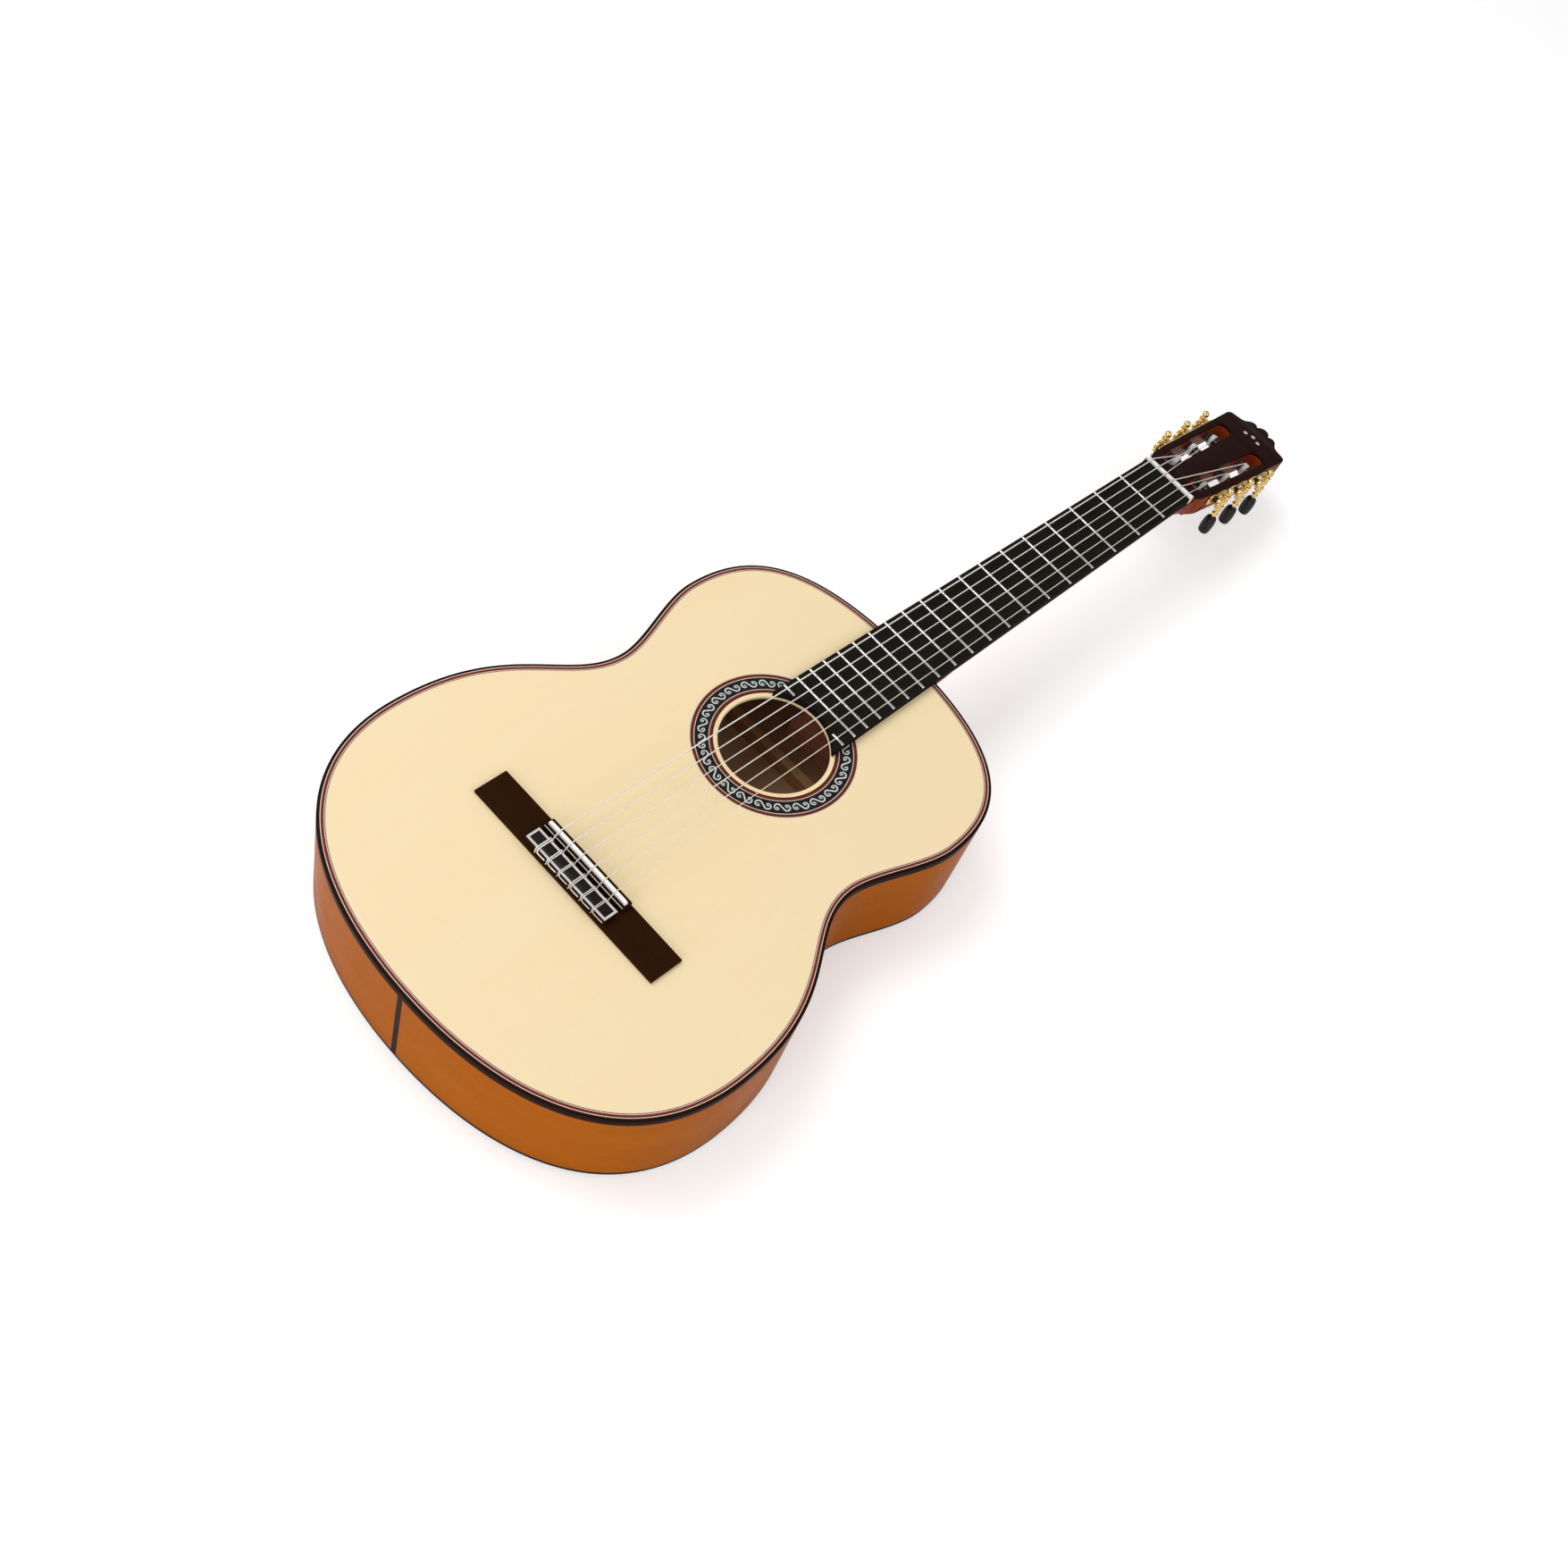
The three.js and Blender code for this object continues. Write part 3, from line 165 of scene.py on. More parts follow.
class GuitarBridgeLook(bpy.types.PropertyGroup):
    wing_rounding: length("Wing rounding", "Radius of the wings' top edges", 1.2)
    inlay_width: length("Inlay width", "Width of the tie block's border", 1.8)
    rosewood: colour("Rosewood", "Colour of the bridge", (46, 24, 8))
    border: colour("Border", "Colour of the tie block's border", (206, 208, 206))


class GuitarStringLook(bpy.types.PropertyGroup):
    clearance: length("Clearance", "Gap kept where a string passes over wood", 0.15)
    wraps: FloatProperty(
        name="Wraps", description="Turns of string on each roller", default=4.0, subtype="UNSIGNED")
    silver: colour("Silver", "Colour of the wound strings", (250, 244, 238))
    nylon: colour("Nylon", "Colour of the plain strings", (250, 242, 228))


class GuitarMachineLook(bpy.types.PropertyGroup):
    plate_depth: length("Plate depth", "Height of the side plates", 15)
    button_radius: length("Button radius", "Radius of a button", 5.5)
    button_length: length("Button length", "Length of a button", 17.5)
    gold: colour("Gold", "Colour of the plated metal", (250, 218, 150))
    button: colour("Button", "Colour of the buttons", (20, 19, 18))
    roller: colour("Roller", "Colour of the string rollers", (18, 18, 19))


class GuitarStageLook(bpy.types.PropertyGroup):
    focal_share: plain_number("Focal length", "Focal length over the picture's width", 1.2004)
    centre_x: plain_number("Centre X", "Sideways place of the picture's centre", -0.0242)
    centre_y: plain_number("Centre Y", "Upward place of the picture's centre", 0.0928)
    floor: colour("Floor", "Colour of the floor", (250, 250, 250))


LOOKS = {
    "guitar_body": GuitarBodyLook,
    "guitar_rosette": GuitarRosetteLook,
    "guitar_neck": GuitarNeckLook,
    "guitar_bridge": GuitarBridgeLook,
    "guitar_strings": GuitarStringLook,
    "guitar_machines": GuitarMachineLook,
    "guitar_stage": GuitarStageLook,
}


def look(name):
    """One of the scene's property groups."""
    return getattr(bpy.context.scene, name)


def mm(value):
    """A length from a property group, in millimetres."""
    return value / MM


# ---------------------------------------------------------------- surfaces

def surface(grid, wrap_rows=False, wrap_columns=False, cap_rows=False):
    """Points and faces over a grid of points, shaped (rows, columns, 3).

    Neighbouring points make a quad. A wrapped side joins its last line to its first, and
    capped rows close the first and last row with a fan about the row's middle point.
    """
    rows, columns = grid.shape[:2]
    numbers = np.arange(rows * columns).reshape(rows, columns)
    if wrap_rows:
        numbers = np.vstack([numbers, numbers[:1]])
    if wrap_columns:
        numbers = np.hstack([numbers, numbers[:, :1]])
    quads = np.stack(
        [numbers[:-1, :-1], numbers[:-1, 1:], numbers[1:, 1:], numbers[1:, :-1]], axis=-1
    ).reshape(-1, 4)
    points = grid.reshape(-1, 3)
    triangles = np.zeros((0, 3), int)
    if cap_rows:
        middles = np.stack([grid[0].mean(axis=0), grid[-1].mean(axis=0)])
        points = np.vstack([points, middles])
        first, last = rows * columns, rows * columns + 1
        start, end = numbers[0], numbers[-1]
        near = np.stack([start[1:], start[:-1], np.full(len(start) - 1, first)], axis=-1)
        far = np.stack([end[:-1], end[1:], np.full(len(end) - 1, last)], axis=-1)
        triangles = np.vstack([near, far])
    return points, quads, triangles


def outwards(part):
    """The same part with its faces turned outwards, told from the sign of its volume."""
    points, quads, triangles = part
    corners = np.vstack([quads[:, [0, 1, 2]], quads[:, [0, 2, 3]], triangles])
    a, b, c = (points[corners[:, i]] for i in range(3))
    volume = np.einsum("ij,ij->", a, np.cross(b, c))
    if volume < 0:
        return points, quads[:, ::-1], triangles[:, ::-1]
    return part


def moved(part, matrix):
    """The part carried by a 4 by 4 matrix, given in millimetres."""
    points, quads, triangles = part
    return points @ matrix[:3, :3].T + matrix[:3, 3], quads, triangles


def slab(upper, lower):
    """A closed solid between two grids of the same shape: both faces and the walls round them."""
    points = np.vstack([upper.reshape(-1, 3), lower.reshape(-1, 3)])
    rows, columns = upper.shape[:2]
    top = np.arange(rows * columns).reshape(rows, columns)
    low = top + rows * columns
    faces = []
    for net, turn in ((top, False), (low, True)):
        quads = np.stack([net[:-1, :-1], net[:-1, 1:], net[1:, 1:], net[1:, :-1]], axis=-1)
        faces.append(quads.reshape(-1, 4)[:, ::-1] if turn else quads.reshape(-1, 4))
    rim_top = np.concatenate([top[0], top[1:, -1], top[-1, -2::-1], top[-2:0:-1, 0]])
    rim_low = rim_top + rows * columns
    walls = np.stack([rim_top, rim_low, np.roll(rim_low, -1), np.roll(rim_top, -1)], axis=-1)
    return points, np.vstack([*faces, walls]), np.zeros((0, 3), int)


def turned(profile, steps=40, spans=(0, 2 * math.pi)):
    """A profile of (radius, height) rows turned about the z axis. A radius of nought is a pole."""
    angles = np.linspace(*spans, steps, endpoint=False)[:, None]
    radius, height = np.asarray(profile, float).T
    grid = np.stack(
        [radius * np.cos(angles), radius * np.sin(angles), height + 0 * angles], axis=-1
    )
    closed = profile[0][0] > 0
    return surface(grid, wrap_rows=True, wrap_columns=closed)


def tube(path, radius, sides=12):
    """A round tube along a path of points, with flat ends.

    Each ring lies square to the path's direction there. The ring's axes are carried from point
    to point by the least turn, so the tube doesn't twist.
    """
    path = np.asarray(path, float)
    ahead = np.gradient(path, axis=0)
    ahead /= np.linalg.norm(ahead, axis=1)[:, None]
    side = np.zeros_like(path)
    seed = np.array([0.0, 0.0, 1.0]) if abs(ahead[0][2]) < 0.9 else np.array([1.0, 0.0, 0.0])
    side[0] = np.cross(ahead[0], seed)
    side[0] /= np.linalg.norm(side[0])
    for i in range(1, len(path)):
        carried = side[i - 1] - ahead[i] * (side[i - 1] @ ahead[i])
        side[i] = carried / np.linalg.norm(carried)
    other = np.cross(ahead, side)
    turn = np.linspace(0, 2 * math.pi, sides, endpoint=False)[None, :, None]
    size = np.broadcast_to(np.asarray(radius, float), (len(path),))[:, None, None]
    grid = path[:, None] + size * (side[:, None] * np.cos(turn) + other[:, None] * np.sin(turn))
    return surface(grid, wrap_columns=True, cap_rows=True)


def rounded_box(low, high, rounding, steps=3):
    """A box whose edges along the top and the four uprights are rounded.

    Rings of a rounded rectangle are stacked: straight up the walls, then in and over the top
    edge along a quarter circle.
    """
    low, high = np.asarray(low, float), np.asarray(high, float)
    middle, half = (low + high) / 2, (high - low) / 2
    rise = np.linspace(0, math.pi / 2, steps + 1)
    insets = np.concatenate([[0], rounding * (1 - np.cos(rise))])
    heights = np.concatenate([[low[2]], high[2] - rounding * (1 - np.sin(rise))])
    corner = np.linspace(0, math.pi / 2, steps + 1)
    turn = np.concatenate([corner + quarter * math.pi / 2 for quarter in range(4)])
    signs = np.repeat([[1, 1], [-1, 1], [-1, -1], [1, -1]], steps + 1, axis=0)
    rings = []
    for inset, height in zip(insets, heights):
        bend = max(rounding - inset, rounding * 0.02)
        centre = signs * (half[:2] - rounding) + middle[:2]
        ring = centre + bend * np.stack([np.cos(turn), np.sin(turn)], axis=-1)
        rings.append(np.column_stack([ring, np.full(len(ring), height)]))
    return surface(np.array(rings), wrap_columns=True, cap_rows=True)


def helix(radius, start, end, turns, steps_per_turn):
    """Points of a helix about the z axis: the height climbs evenly with the angle."""
    count = int(abs(turns) * steps_per_turn) + 1
    angle = np.linspace(0, 2 * math.pi * turns, count)
    height = np.linspace(start, end, count)
    return np.column_stack([radius * np.cos(angle), radius * np.sin(angle), height])


def smooth_path(points, spacing=0.6):
    """A Catmull-Rom curve through points, with about one sample per spacing."""
    points = np.asarray(points, float)
    ends = np.vstack([2 * points[0] - points[1], points, 2 * points[-1] - points[-2]])
    pieces = []
    for i in range(len(points) - 1):
        p0, p1, p2, p3 = ends[i:i + 4]
        count = max(2, int(np.linalg.norm(p2 - p1) / spacing))
        t = np.linspace(0, 1, count, endpoint=False)[:, None]
        pieces.append(0.5 * (
            2 * p1 + (p2 - p0) * t + (2 * p0 - 5 * p1 + 4 * p2 - p3) * t ** 2
            + (3 * p1 - p0 - 3 * p2 + p3) * t ** 3
        ))
    return np.vstack(pieces + [points[-1:]])


def add_piece(name, parts, material, slot, body=ROOT, replaces=(), sharp=35, flow=None):
    """Makes one piece from closed parts in millimetres, at the origin, and puts it on its body.

    Flow is an optional coordinate for each point, for a grain that follows a bent piece.
    """
    points, faces, start = [], [], 0
    for part in parts:
        spots, quads, triangles = outwards(part)
        points.append(spots)
        faces += (quads + start).tolist() + (triangles + start).tolist()
        start += len(spots)
    mesh = bpy.data.meshes.new(name)
    mesh.from_pydata((np.vstack(points) * MM).tolist(), [], faces)
    if flow is not None:
        layer = mesh.attributes.new("flow", "FLOAT_VECTOR", "POINT")
        layer.data.foreach_set("vector", (flow * MM).astype(np.float32).ravel())
    tidy = bmesh.new()
    tidy.from_mesh(mesh)
    bmesh.ops.remove_doubles(tidy, verts=tidy.verts, dist=1e-8)
    bmesh.ops.dissolve_degenerate(tidy, edges=tidy.edges, dist=1e-8)
    tidy.to_mesh(mesh)
    tidy.free()
    return finish_piece(name, mesh, material, slot, body, replaces, sharp)


def finish_piece(name, mesh, material, slot, body, replaces, sharp):
    """Shades a mesh, links it as a piece, puts it on its body and hides the CAD nodes it replaces. The slot
    is not used.
    """
    mesh.shade_smooth()
    mesh.set_sharp_from_angle(angle=math.radians(sharp))
    mesh.materials.append(material)
    piece = bpy.data.objects.new(name, mesh)
    bpy.context.scene.collection.objects.link(piece)
    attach(piece, body)
    if replaces:
        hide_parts(*replaces)
    return piece


# ---------------------------------------------------------------- body outline

def bezier(t, a, b, c, d):
    """A cubic Bezier curve from a to d, pulled towards b and c."""
    return (1 - t) ** 3 * a + 3 * (1 - t) ** 2 * t * b + 3 * (1 - t) * t ** 2 * c + t ** 3 * d


class Outline:
    """The body's edge as a path of points with outward directions and the distance run.

    Four cubic Bezier curves run from the tail to the neck, meeting at the widest point of the
    lower bout, the waist and the widest point of the upper bout. The bass half is their mirror.
    """

    STEPS = (44, 34, 26, 44)

    def __init__(self):
        sizes = look("guitar_body")
        lower = np.array([BODY_HIGH[0], TAIL_Y + mm(sizes.lower_bout_place)])
        waist = np.array([mm(sizes.waist) / 2, TAIL_Y + mm(sizes.waist_place)])
        upper = np.array([mm(sizes.upper_bout) / 2, TAIL_Y + mm(sizes.upper_bout_place)])
        tail, neck = np.array([0, TAIL_Y]), np.array([0, JOIN_Y])
        to_waist, to_upper = waist[1] - lower[1], upper[1] - waist[1]
        curves = [
            (tail, (lower[0] * 0.545, 0), (0, -(lower[1] - TAIL_Y) * 0.71), lower),
            (lower, (0, to_waist * 0.62), (0, -to_waist * 0.3), waist),
            (waist, (0, to_upper * 0.28), (0, -to_upper * 0.32), upper),
            (upper, (0, (JOIN_Y - upper[1]) * 0.62), (upper[0] * 0.76, 0), neck),
        ]
        spots, runs = [], []
        for (a, leave, arrive, d), steps in zip(curves, self.STEPS):
            b, c = a + np.array(leave), d + np.array(arrive)
            t = np.linspace(0, 1, steps, endpoint=False)[:, None]
            spots.append(bezier(t, a, b, c, d))
            runs.append((1 - t) ** 2 * (b - a) + 2 * (1 - t) * t * (c - b) + t ** 2 * (d - c))
        half = np.vstack(spots + [neck[None]])
        along = np.vstack(runs + [np.array([[-1.0, 0.0]])])
        along /= np.linalg.norm(along, axis=1)[:, None]
        self.half = half
        self.half_normals = np.column_stack([along[:, 1], -along[:, 0]])
        steps = np.linalg.norm(np.diff(half, axis=0), axis=1)
        self.half_run = np.concatenate([[0], np.cumsum(steps)])
        mirror = np.array([-1, 1])
        self.points = np.vstack([half, half[-2:0:-1] * mirror])
        self.normals = np.vstack([self.half_normals, self.half_normals[-2:0:-1] * mirror])

    def inset(self, distance):
        """The edge's points moved inwards."""
        return self.points - self.normals * distance

    def half_from(self, start, side, count=170):
        """Points, normals and distances of one half, from a distance past the tail to the neck."""
        run = np.linspace(start, self.half_run[-1], count)
        points, normals = (
            np.column_stack([np.interp(run, self.half_run, column) for column in values.T])
            for values in (self.half, self.half_normals))
        mirror = np.array([side, 1])
        return points * mirror, normals * mirror, run


def band(outline, profile):
    """A profile of (inset, height) rows carried right round the body's edge."""
    inset, height = np.asarray(profile, float).T
    spots = outline.points[:, None] - outline.normals[:, None] * inset[None, :, None]
    grid = np.concatenate([spots, np.broadcast_to(height[:, None], (*spots.shape[:2], 1))], axis=-1)
    return surface(grid, wrap_rows=True, wrap_columns=True)


def half_band(outline, profile, start, side):
    """The same along one half of the edge, closed at both ends.

    Its flow coordinates are the height and the distance run along the edge.
    """
    inset, height = np.asarray(profile, float).T
    points, normals, run = outline.half_from(start, side)
    spots = points[:, None] - normals[:, None] * inset[None, :, None]
    grid = np.concatenate([spots, np.broadcast_to(height[:, None], (*spots.shape[:2], 1))], axis=-1)
    flow = np.zeros(grid.shape)
    flow[..., 0] = height
    flow[..., 1] = run[:, None] * side
    part = surface(grid, wrap_columns=True, cap_rows=True)
    ends = np.stack([flow[0].mean(axis=0), flow[-1].mean(axis=0)])
    return part, np.vstack([flow.reshape(-1, 3), ends])


def rounded_edge(width, low, high, rounding, steps=5):
    """The section of a binding: square inside, rounded on its outer upper edge."""
    turn = np.linspace(math.pi / 2, 0, steps + 1)
    arc = np.column_stack([rounding - rounding * np.cos(turn), high - rounding + rounding * np.sin(turn)])
    return np.vstack([[(width, high)], arc, [(0, low), (width, low)]])


# ---------------------------------------------------------------- shader nodes

class Steps:
    """Adds nodes to a node tree one after another, linking inputs as they are named."""

    def __init__(self, tree):
        self.tree = tree

    def add(self, kind, inputs=None, **settings):
        """A node with its settings, and its inputs set or linked."""
        node = self.tree.nodes.new(kind)
        for key, value in settings.items():
            setattr(node, key, value)
        for key, value in (inputs or {}).items():
            if isinstance(value, bpy.types.NodeSocket):
                self.tree.links.new(value, node.inputs[key])
            else:
                node.inputs[key].default_value = value
        return node

    def math(self, operation, first, second=0.0):
        """A sum or function of one or two numbers."""
        return self.add("ShaderNodeMath", {0: first, 1: second}, operation=operation).outputs[0]

    def vector(self, operation, first, second):
        """The same on vectors."""
        return self.add("ShaderNodeVectorMath", {0: first, 1: second}, operation=operation).outputs[0]

    def noise(self, vector, scale, detail=3.0, roughness=0.55):
        """Soft noise between nought and one."""
        inputs = {"Vector": vector, "Scale": scale, "Detail": detail, "Roughness": roughness}
        return self.add("ShaderNodeTexNoise", inputs).outputs["Fac"]

    def span(self, value, low, high, to_low=0.0, to_high=1.0):
        """A value carried from one span to another, held at its ends."""
        inputs = {"Value": value, "From Min": low, "From Max": high, "To Min": to_low, "To Max": to_high}
        return self.add("ShaderNodeMapRange", inputs, clamp=True).outputs[0]

    def blend(self, mask, first, second):
        """The first colour where the mask is nought, the second where it is one."""
        node = self.add("ShaderNodeMix", data_type="RGBA")
        for socket, value in ((node.inputs[0], mask), (node.inputs[6], first), (node.inputs[7], second)):
            if isinstance(value, bpy.types.NodeSocket):
                self.tree.links.new(value, socket)
            else:
                socket.default_value = value
        return node.outputs[2]


def node_group(name, inputs, outputs, build):
    """A shader node group with named sockets, built once."""
    if name in bpy.data.node_groups:
        return bpy.data.node_groups[name]
    tree = bpy.data.node_groups.new(name, "ShaderNodeTree")
    for label, kind, default in inputs:
        socket = tree.interface.new_socket(label, in_out="INPUT", socket_type=kind)
        if default is not None:
            socket.default_value = default
    for label, kind in outputs:
        tree.interface.new_socket(label, in_out="OUTPUT", socket_type=kind)
    start = tree.nodes.new("NodeGroupInput")
    end = tree.nodes.new("NodeGroupOutput")
    for label, value in build(Steps(tree), start.outputs).items():
        tree.links.new(value, end.inputs[label])
    return tree


def drawn_noise(steps, spot, scales, detail=3.0, roughness=0.55):
    """Noise drawn out by a scale of its own along each axis."""
    return steps.noise(steps.vector("MULTIPLY", spot, scales), 1.0, detail, roughness)


def wood_figure():
    """Wood figure with the grain along Y, as a colour and the fibre's height.

    Rings: the distance across the grain, bent by slow noise, over the ring width; its fraction,
    raised to a power, is pale early wood that darkens to a thin late line. Fibre: noise drawn
    out thirty times along the grain. Shade: broad drifts of colour. Rays: short cross flecks.
    Each one is a mask that pulls the base towards the dark, the deep or the pale colour.
    """
    def build(steps, given):
        spot = given["Vector"]
        across = steps.add("ShaderNodeSeparateXYZ", {0: spot})
        slow = drawn_noise(steps, spot, (9.0, 1.6, 9.0), 2.0)
        bend = steps.math("MULTIPLY", slow, given["Wander"])
        lateral = steps.math("ADD", across.outputs[0], steps.math("MULTIPLY", across.outputs[2], 0.35))
        place = steps.math("ADD", steps.math("DIVIDE", lateral, given["Ring Width"]), bend)
        rings = steps.math("POWER", steps.math("FRACT", place), given["Late Wood"])
        uneven = steps.span(drawn_noise(steps, spot, (160.0, 3.0, 160.0)), 0.35, 0.65)
        fibre = drawn_noise(steps, spot, (1500.0, 45.0, 1500.0), 4.0, 0.65)
        masks = (
            ("Shade", steps.span(drawn_noise(steps, spot, (14.0, 2.2, 14.0)), 0.3, 0.7), "Dark"),
            ("Ring", steps.math("MULTIPLY", rings, uneven), "Dark"),
            ("Fibre", steps.span(fibre, 0.45, 0.75), "Deep"),
            ("Ray", steps.span(drawn_noise(steps, spot, (260.0, 700.0, 260.0), 2.0), 0.6, 0.75), "Pale"),
        )
        now = given["Base"]
        for label, mask, pull in masks:
            depth = steps.math("MULTIPLY", mask, given[f"{label} Depth"])
            now = steps.blend(depth, now, given[pull])
        return {"Color": now, "Fibre": fibre}

    inputs = [("Vector", "NodeSocketVector", None)]
    inputs += [(label, "NodeSocketColor", None) for label in ("Base", "Dark", "Deep", "Pale")]
    inputs += [(label, "NodeSocketFloat", 1.0) for label in (
        "Ring Width", "Wander", "Late Wood", "Shade Depth", "Ring Depth", "Fibre Depth", "Ray Depth")]
    outputs = [("Color", "NodeSocketColor"), ("Fibre", "NodeSocketFloat")]
    return node_group("wood_figure", inputs, outputs, build)


def mottled_tone():
    """A colour that drifts between two tones with slow noise, and the height of a fine grain."""
    def build(steps, given):
        noise = steps.noise(given["Vector"], given["Scale"], given["Detail"])
        tone = steps.blend(steps.span(noise, given["Low"], 0.7), given["Base"], given["Shade"])
        return {"Color": tone, "Grain": steps.noise(given["Vector"], given["Grain Scale"], 2.0)}

    inputs = [
        ("Vector", "NodeSocketVector", None), ("Base", "NodeSocketColor", None),
        ("Shade", "NodeSocketColor", None),
    ]
    inputs += [(label, "NodeSocketFloat", 1.0) for label in ("Scale", "Detail", "Low", "Grain Scale")]
    outputs = [("Color", "NodeSocketColor"), ("Grain", "NodeSocketFloat")]
    return node_group("mottled_tone", inputs, outputs, build)


def handling_marks():
    """Faint rubbed patches and fine scuffs, as a number about nought to add to a roughness."""
    def build(steps, given):
        patch = steps.span(steps.noise(given["Vector"], 28.0, 4.0), 0.35, 0.7, -0.5, 0.5)
        scuff = steps.span(steps.noise(given["Vector"], 900.0, 2.0), 0.4, 0.7, -0.3, 0.3)
        both = steps.math("ADD", patch, scuff)
        rough = steps.math("ADD", given["Roughness"], steps.math("MULTIPLY", both, given["Amount"]))
        return {"Roughness": steps.math("MAXIMUM", rough, 0.02)}

    inputs = [
        ("Vector", "NodeSocketVector", None), ("Roughness", "NodeSocketFloat", 0.3),
        ("Amount", "NodeSocketFloat", 0.1),
    ]
    return node_group("handling_marks", inputs, [("Roughness", "NodeSocketFloat")], build)


def new_material(name, metallic=0.0, specular=0.5, coat=0.0, ior=1.45):
    """A material with a bare Principled shader. Returns its node steps and shader too."""
    material = bpy.data.materials.new(name)
    material.use_nodes = True
    tree = material.node_tree
    shader = tree.nodes["Principled BSDF"]
    for label, value in (
        ("Metallic", metallic), ("IOR", ior), ("Specular IOR Level", specular),
        ("Coat Weight", coat), ("Coat Roughness", 0.05),
    ):
        shader.inputs[label].default_value = value
    return material, Steps(tree), shader


def place_of(steps):
    """The point on the piece, in object coordinates."""
    return steps.add("ShaderNodeTexCoord").outputs["Object"]


def marks(steps, shader, spot, roughness, amount=0.1):
    """Sets the shader's roughness, varied by handling marks."""
    given = {"Vector": spot, "Roughness": roughness, "Amount": amount}
    node = steps.add("ShaderNodeGroup", given, node_tree=handling_marks())
    steps.tree.links.new(node.outputs[0], shader.inputs["Roughness"])


def bump(steps, shader, height, distance):
    """Gives the shader a relief of a height in millimetres."""
    node = steps.add("ShaderNodeBump", {"Height": height, "Distance": distance * MM, "Strength": 1.0})
    steps.tree.links.new(node.outputs[0], shader.inputs["Normal"])


def mottle(steps, shader, spot, base, shade, scale, detail=3.0, low=0.3, grain_scale=1500.0):
    """Sets the shader's colour from a mottled tone. Returns the height of its fine grain."""
    given = {
        "Vector": spot, "Base": (*base, 1), "Shade": shades(base, shade), "Scale": scale,
        "Detail": detail, "Low": low, "Grain Scale": grain_scale,
    }
    node = steps.add("ShaderNodeGroup", given, node_tree=mottled_tone())
    steps.tree.links.new(node.outputs["Color"], shader.inputs["Base Color"])
    return node.outputs["Grain"]


def shades(base, factor):
    """A colour made darker or lighter by a factor, with its alpha."""
    return (*[min(part * factor, 1.0) for part in base], 1.0)


def tinted(base, tint):
    """A colour pulled towards a tint, part by part, with its alpha."""
    return (*[min(part * pull, 1.0) for part, pull in zip(base, tint)], 1.0)


def wood(name, base, ring_width=1.5, wander=3.0, late=4.0, ring_depth=0.25, fibre_depth=0.2,
         shade_depth=0.25, tint=(0.75, 0.6, 0.45), along="y", mirrored=False, roughness=0.35,
         specular=0.4, coat=0.0, grain_bump=0.02, flow=False, rays=0.0, ior=1.18, raw_above=None,
         raw=(0.5, 0.3, 0.16)):
    """A finished wood: rings, fibres and drifts of colour over a base, with pores in the bump.

    The grain runs along Y or X, or along a flow attribute. A mirrored wood is opened like a
    book about its middle, and above raw_above the wood is left without its finish.
    """
    material, steps, shader = new_material(name, 0.0, specular, coat, ior)
    if flow:
        spot = steps.add("ShaderNodeAttribute", attribute_name="flow").outputs["Vector"]
    else:
        spot = place_of(steps)
    if along == "x" or mirrored:
        split = steps.add("ShaderNodeSeparateXYZ", {0: spot})
        parts = list(split.outputs)
        if along == "x":
            parts = [parts[1], parts[0], parts[2]]
        if mirrored:
            parts[0] = steps.math("ABSOLUTE", parts[0])
        spot = steps.add("ShaderNodeCombineXYZ", dict(zip(range(3), parts))).outputs[0]
    dark = tinted(base, tint)
    figure = steps.add("ShaderNodeGroup", {
        "Vector": spot, "Base": (*base, 1), "Dark": dark, "Deep": tinted(dark, tint),
        "Pale": shades(base, 1.12), "Ring Width": ring_width * MM, "Wander": wander,
        "Late Wood": late, "Shade Depth": shade_depth, "Ring Depth": ring_depth,
        "Fibre Depth": fibre_depth, "Ray Depth": rays,
    }, node_tree=wood_figure())
    colour_now = figure.outputs["Color"]
    if raw_above is not None:
        depth = steps.add("ShaderNodeSeparateXYZ", {0: place_of(steps)}).outputs[2]
        unfinished = steps.math("GREATER_THAN", depth, raw_above * MM)
        colour_now = steps.blend(unfinished, colour_now, (*raw, 1))
    steps.tree.links.new(colour_now, shader.inputs["Base Color"])
    marks(steps, shader, spot, roughness)
    bump(steps, shader, figure.outputs["Fibre"], grain_bump)
    return material


def metal(name, base, roughness=0.2, shade=0.75):
    """Plated or drawn metal: slow changes of tone, faint scuffs and a fine brushed bump."""
    material, steps, shader = new_material(name, metallic=1.0)
    spot = place_of(steps)
    grain = mottle(steps, shader, spot, base, shade, 260.0, 3.0, 0.35, 2200.0)
    marks(steps, shader, spot, roughness, 0.12)
    bump(steps, shader, grain, 0.004)
    return material


def polished(name, base, roughness=0.3, specular=0.4, variation=0.15, coat=0.0, scale=120.0):
    """Bone, plastic or lacquer: a base with soft mottling and slight unevenness."""
    material, steps, shader = new_material(name, specular=specular, coat=coat)
    spot = place_of(steps)
    grain = mottle(steps, shader, spot, base, 1 - variation, scale, 4.0)
    marks(steps, shader, spot, roughness)
    bump(steps, shader, grain, 0.006)
    return material


def wound_wire(name, base):
    """Silvered wire wound on the core: fine ridges along the string."""
    material, steps, shader = new_material(name, metallic=0.25)
    spot = place_of(steps)
    along = steps.add("ShaderNodeSeparateXYZ", {0: spot}).outputs[1]
    turn_width = 0.28 * MM
    ridge = steps.math("SINE", steps.math("MULTIPLY", along, 2 * math.pi / turn_width))
    mottle(steps, shader, spot, base, 0.86, 300.0)
    marks(steps, shader, spot, 0.28)
    bump(steps, shader, ridge, 0.02)
    return material


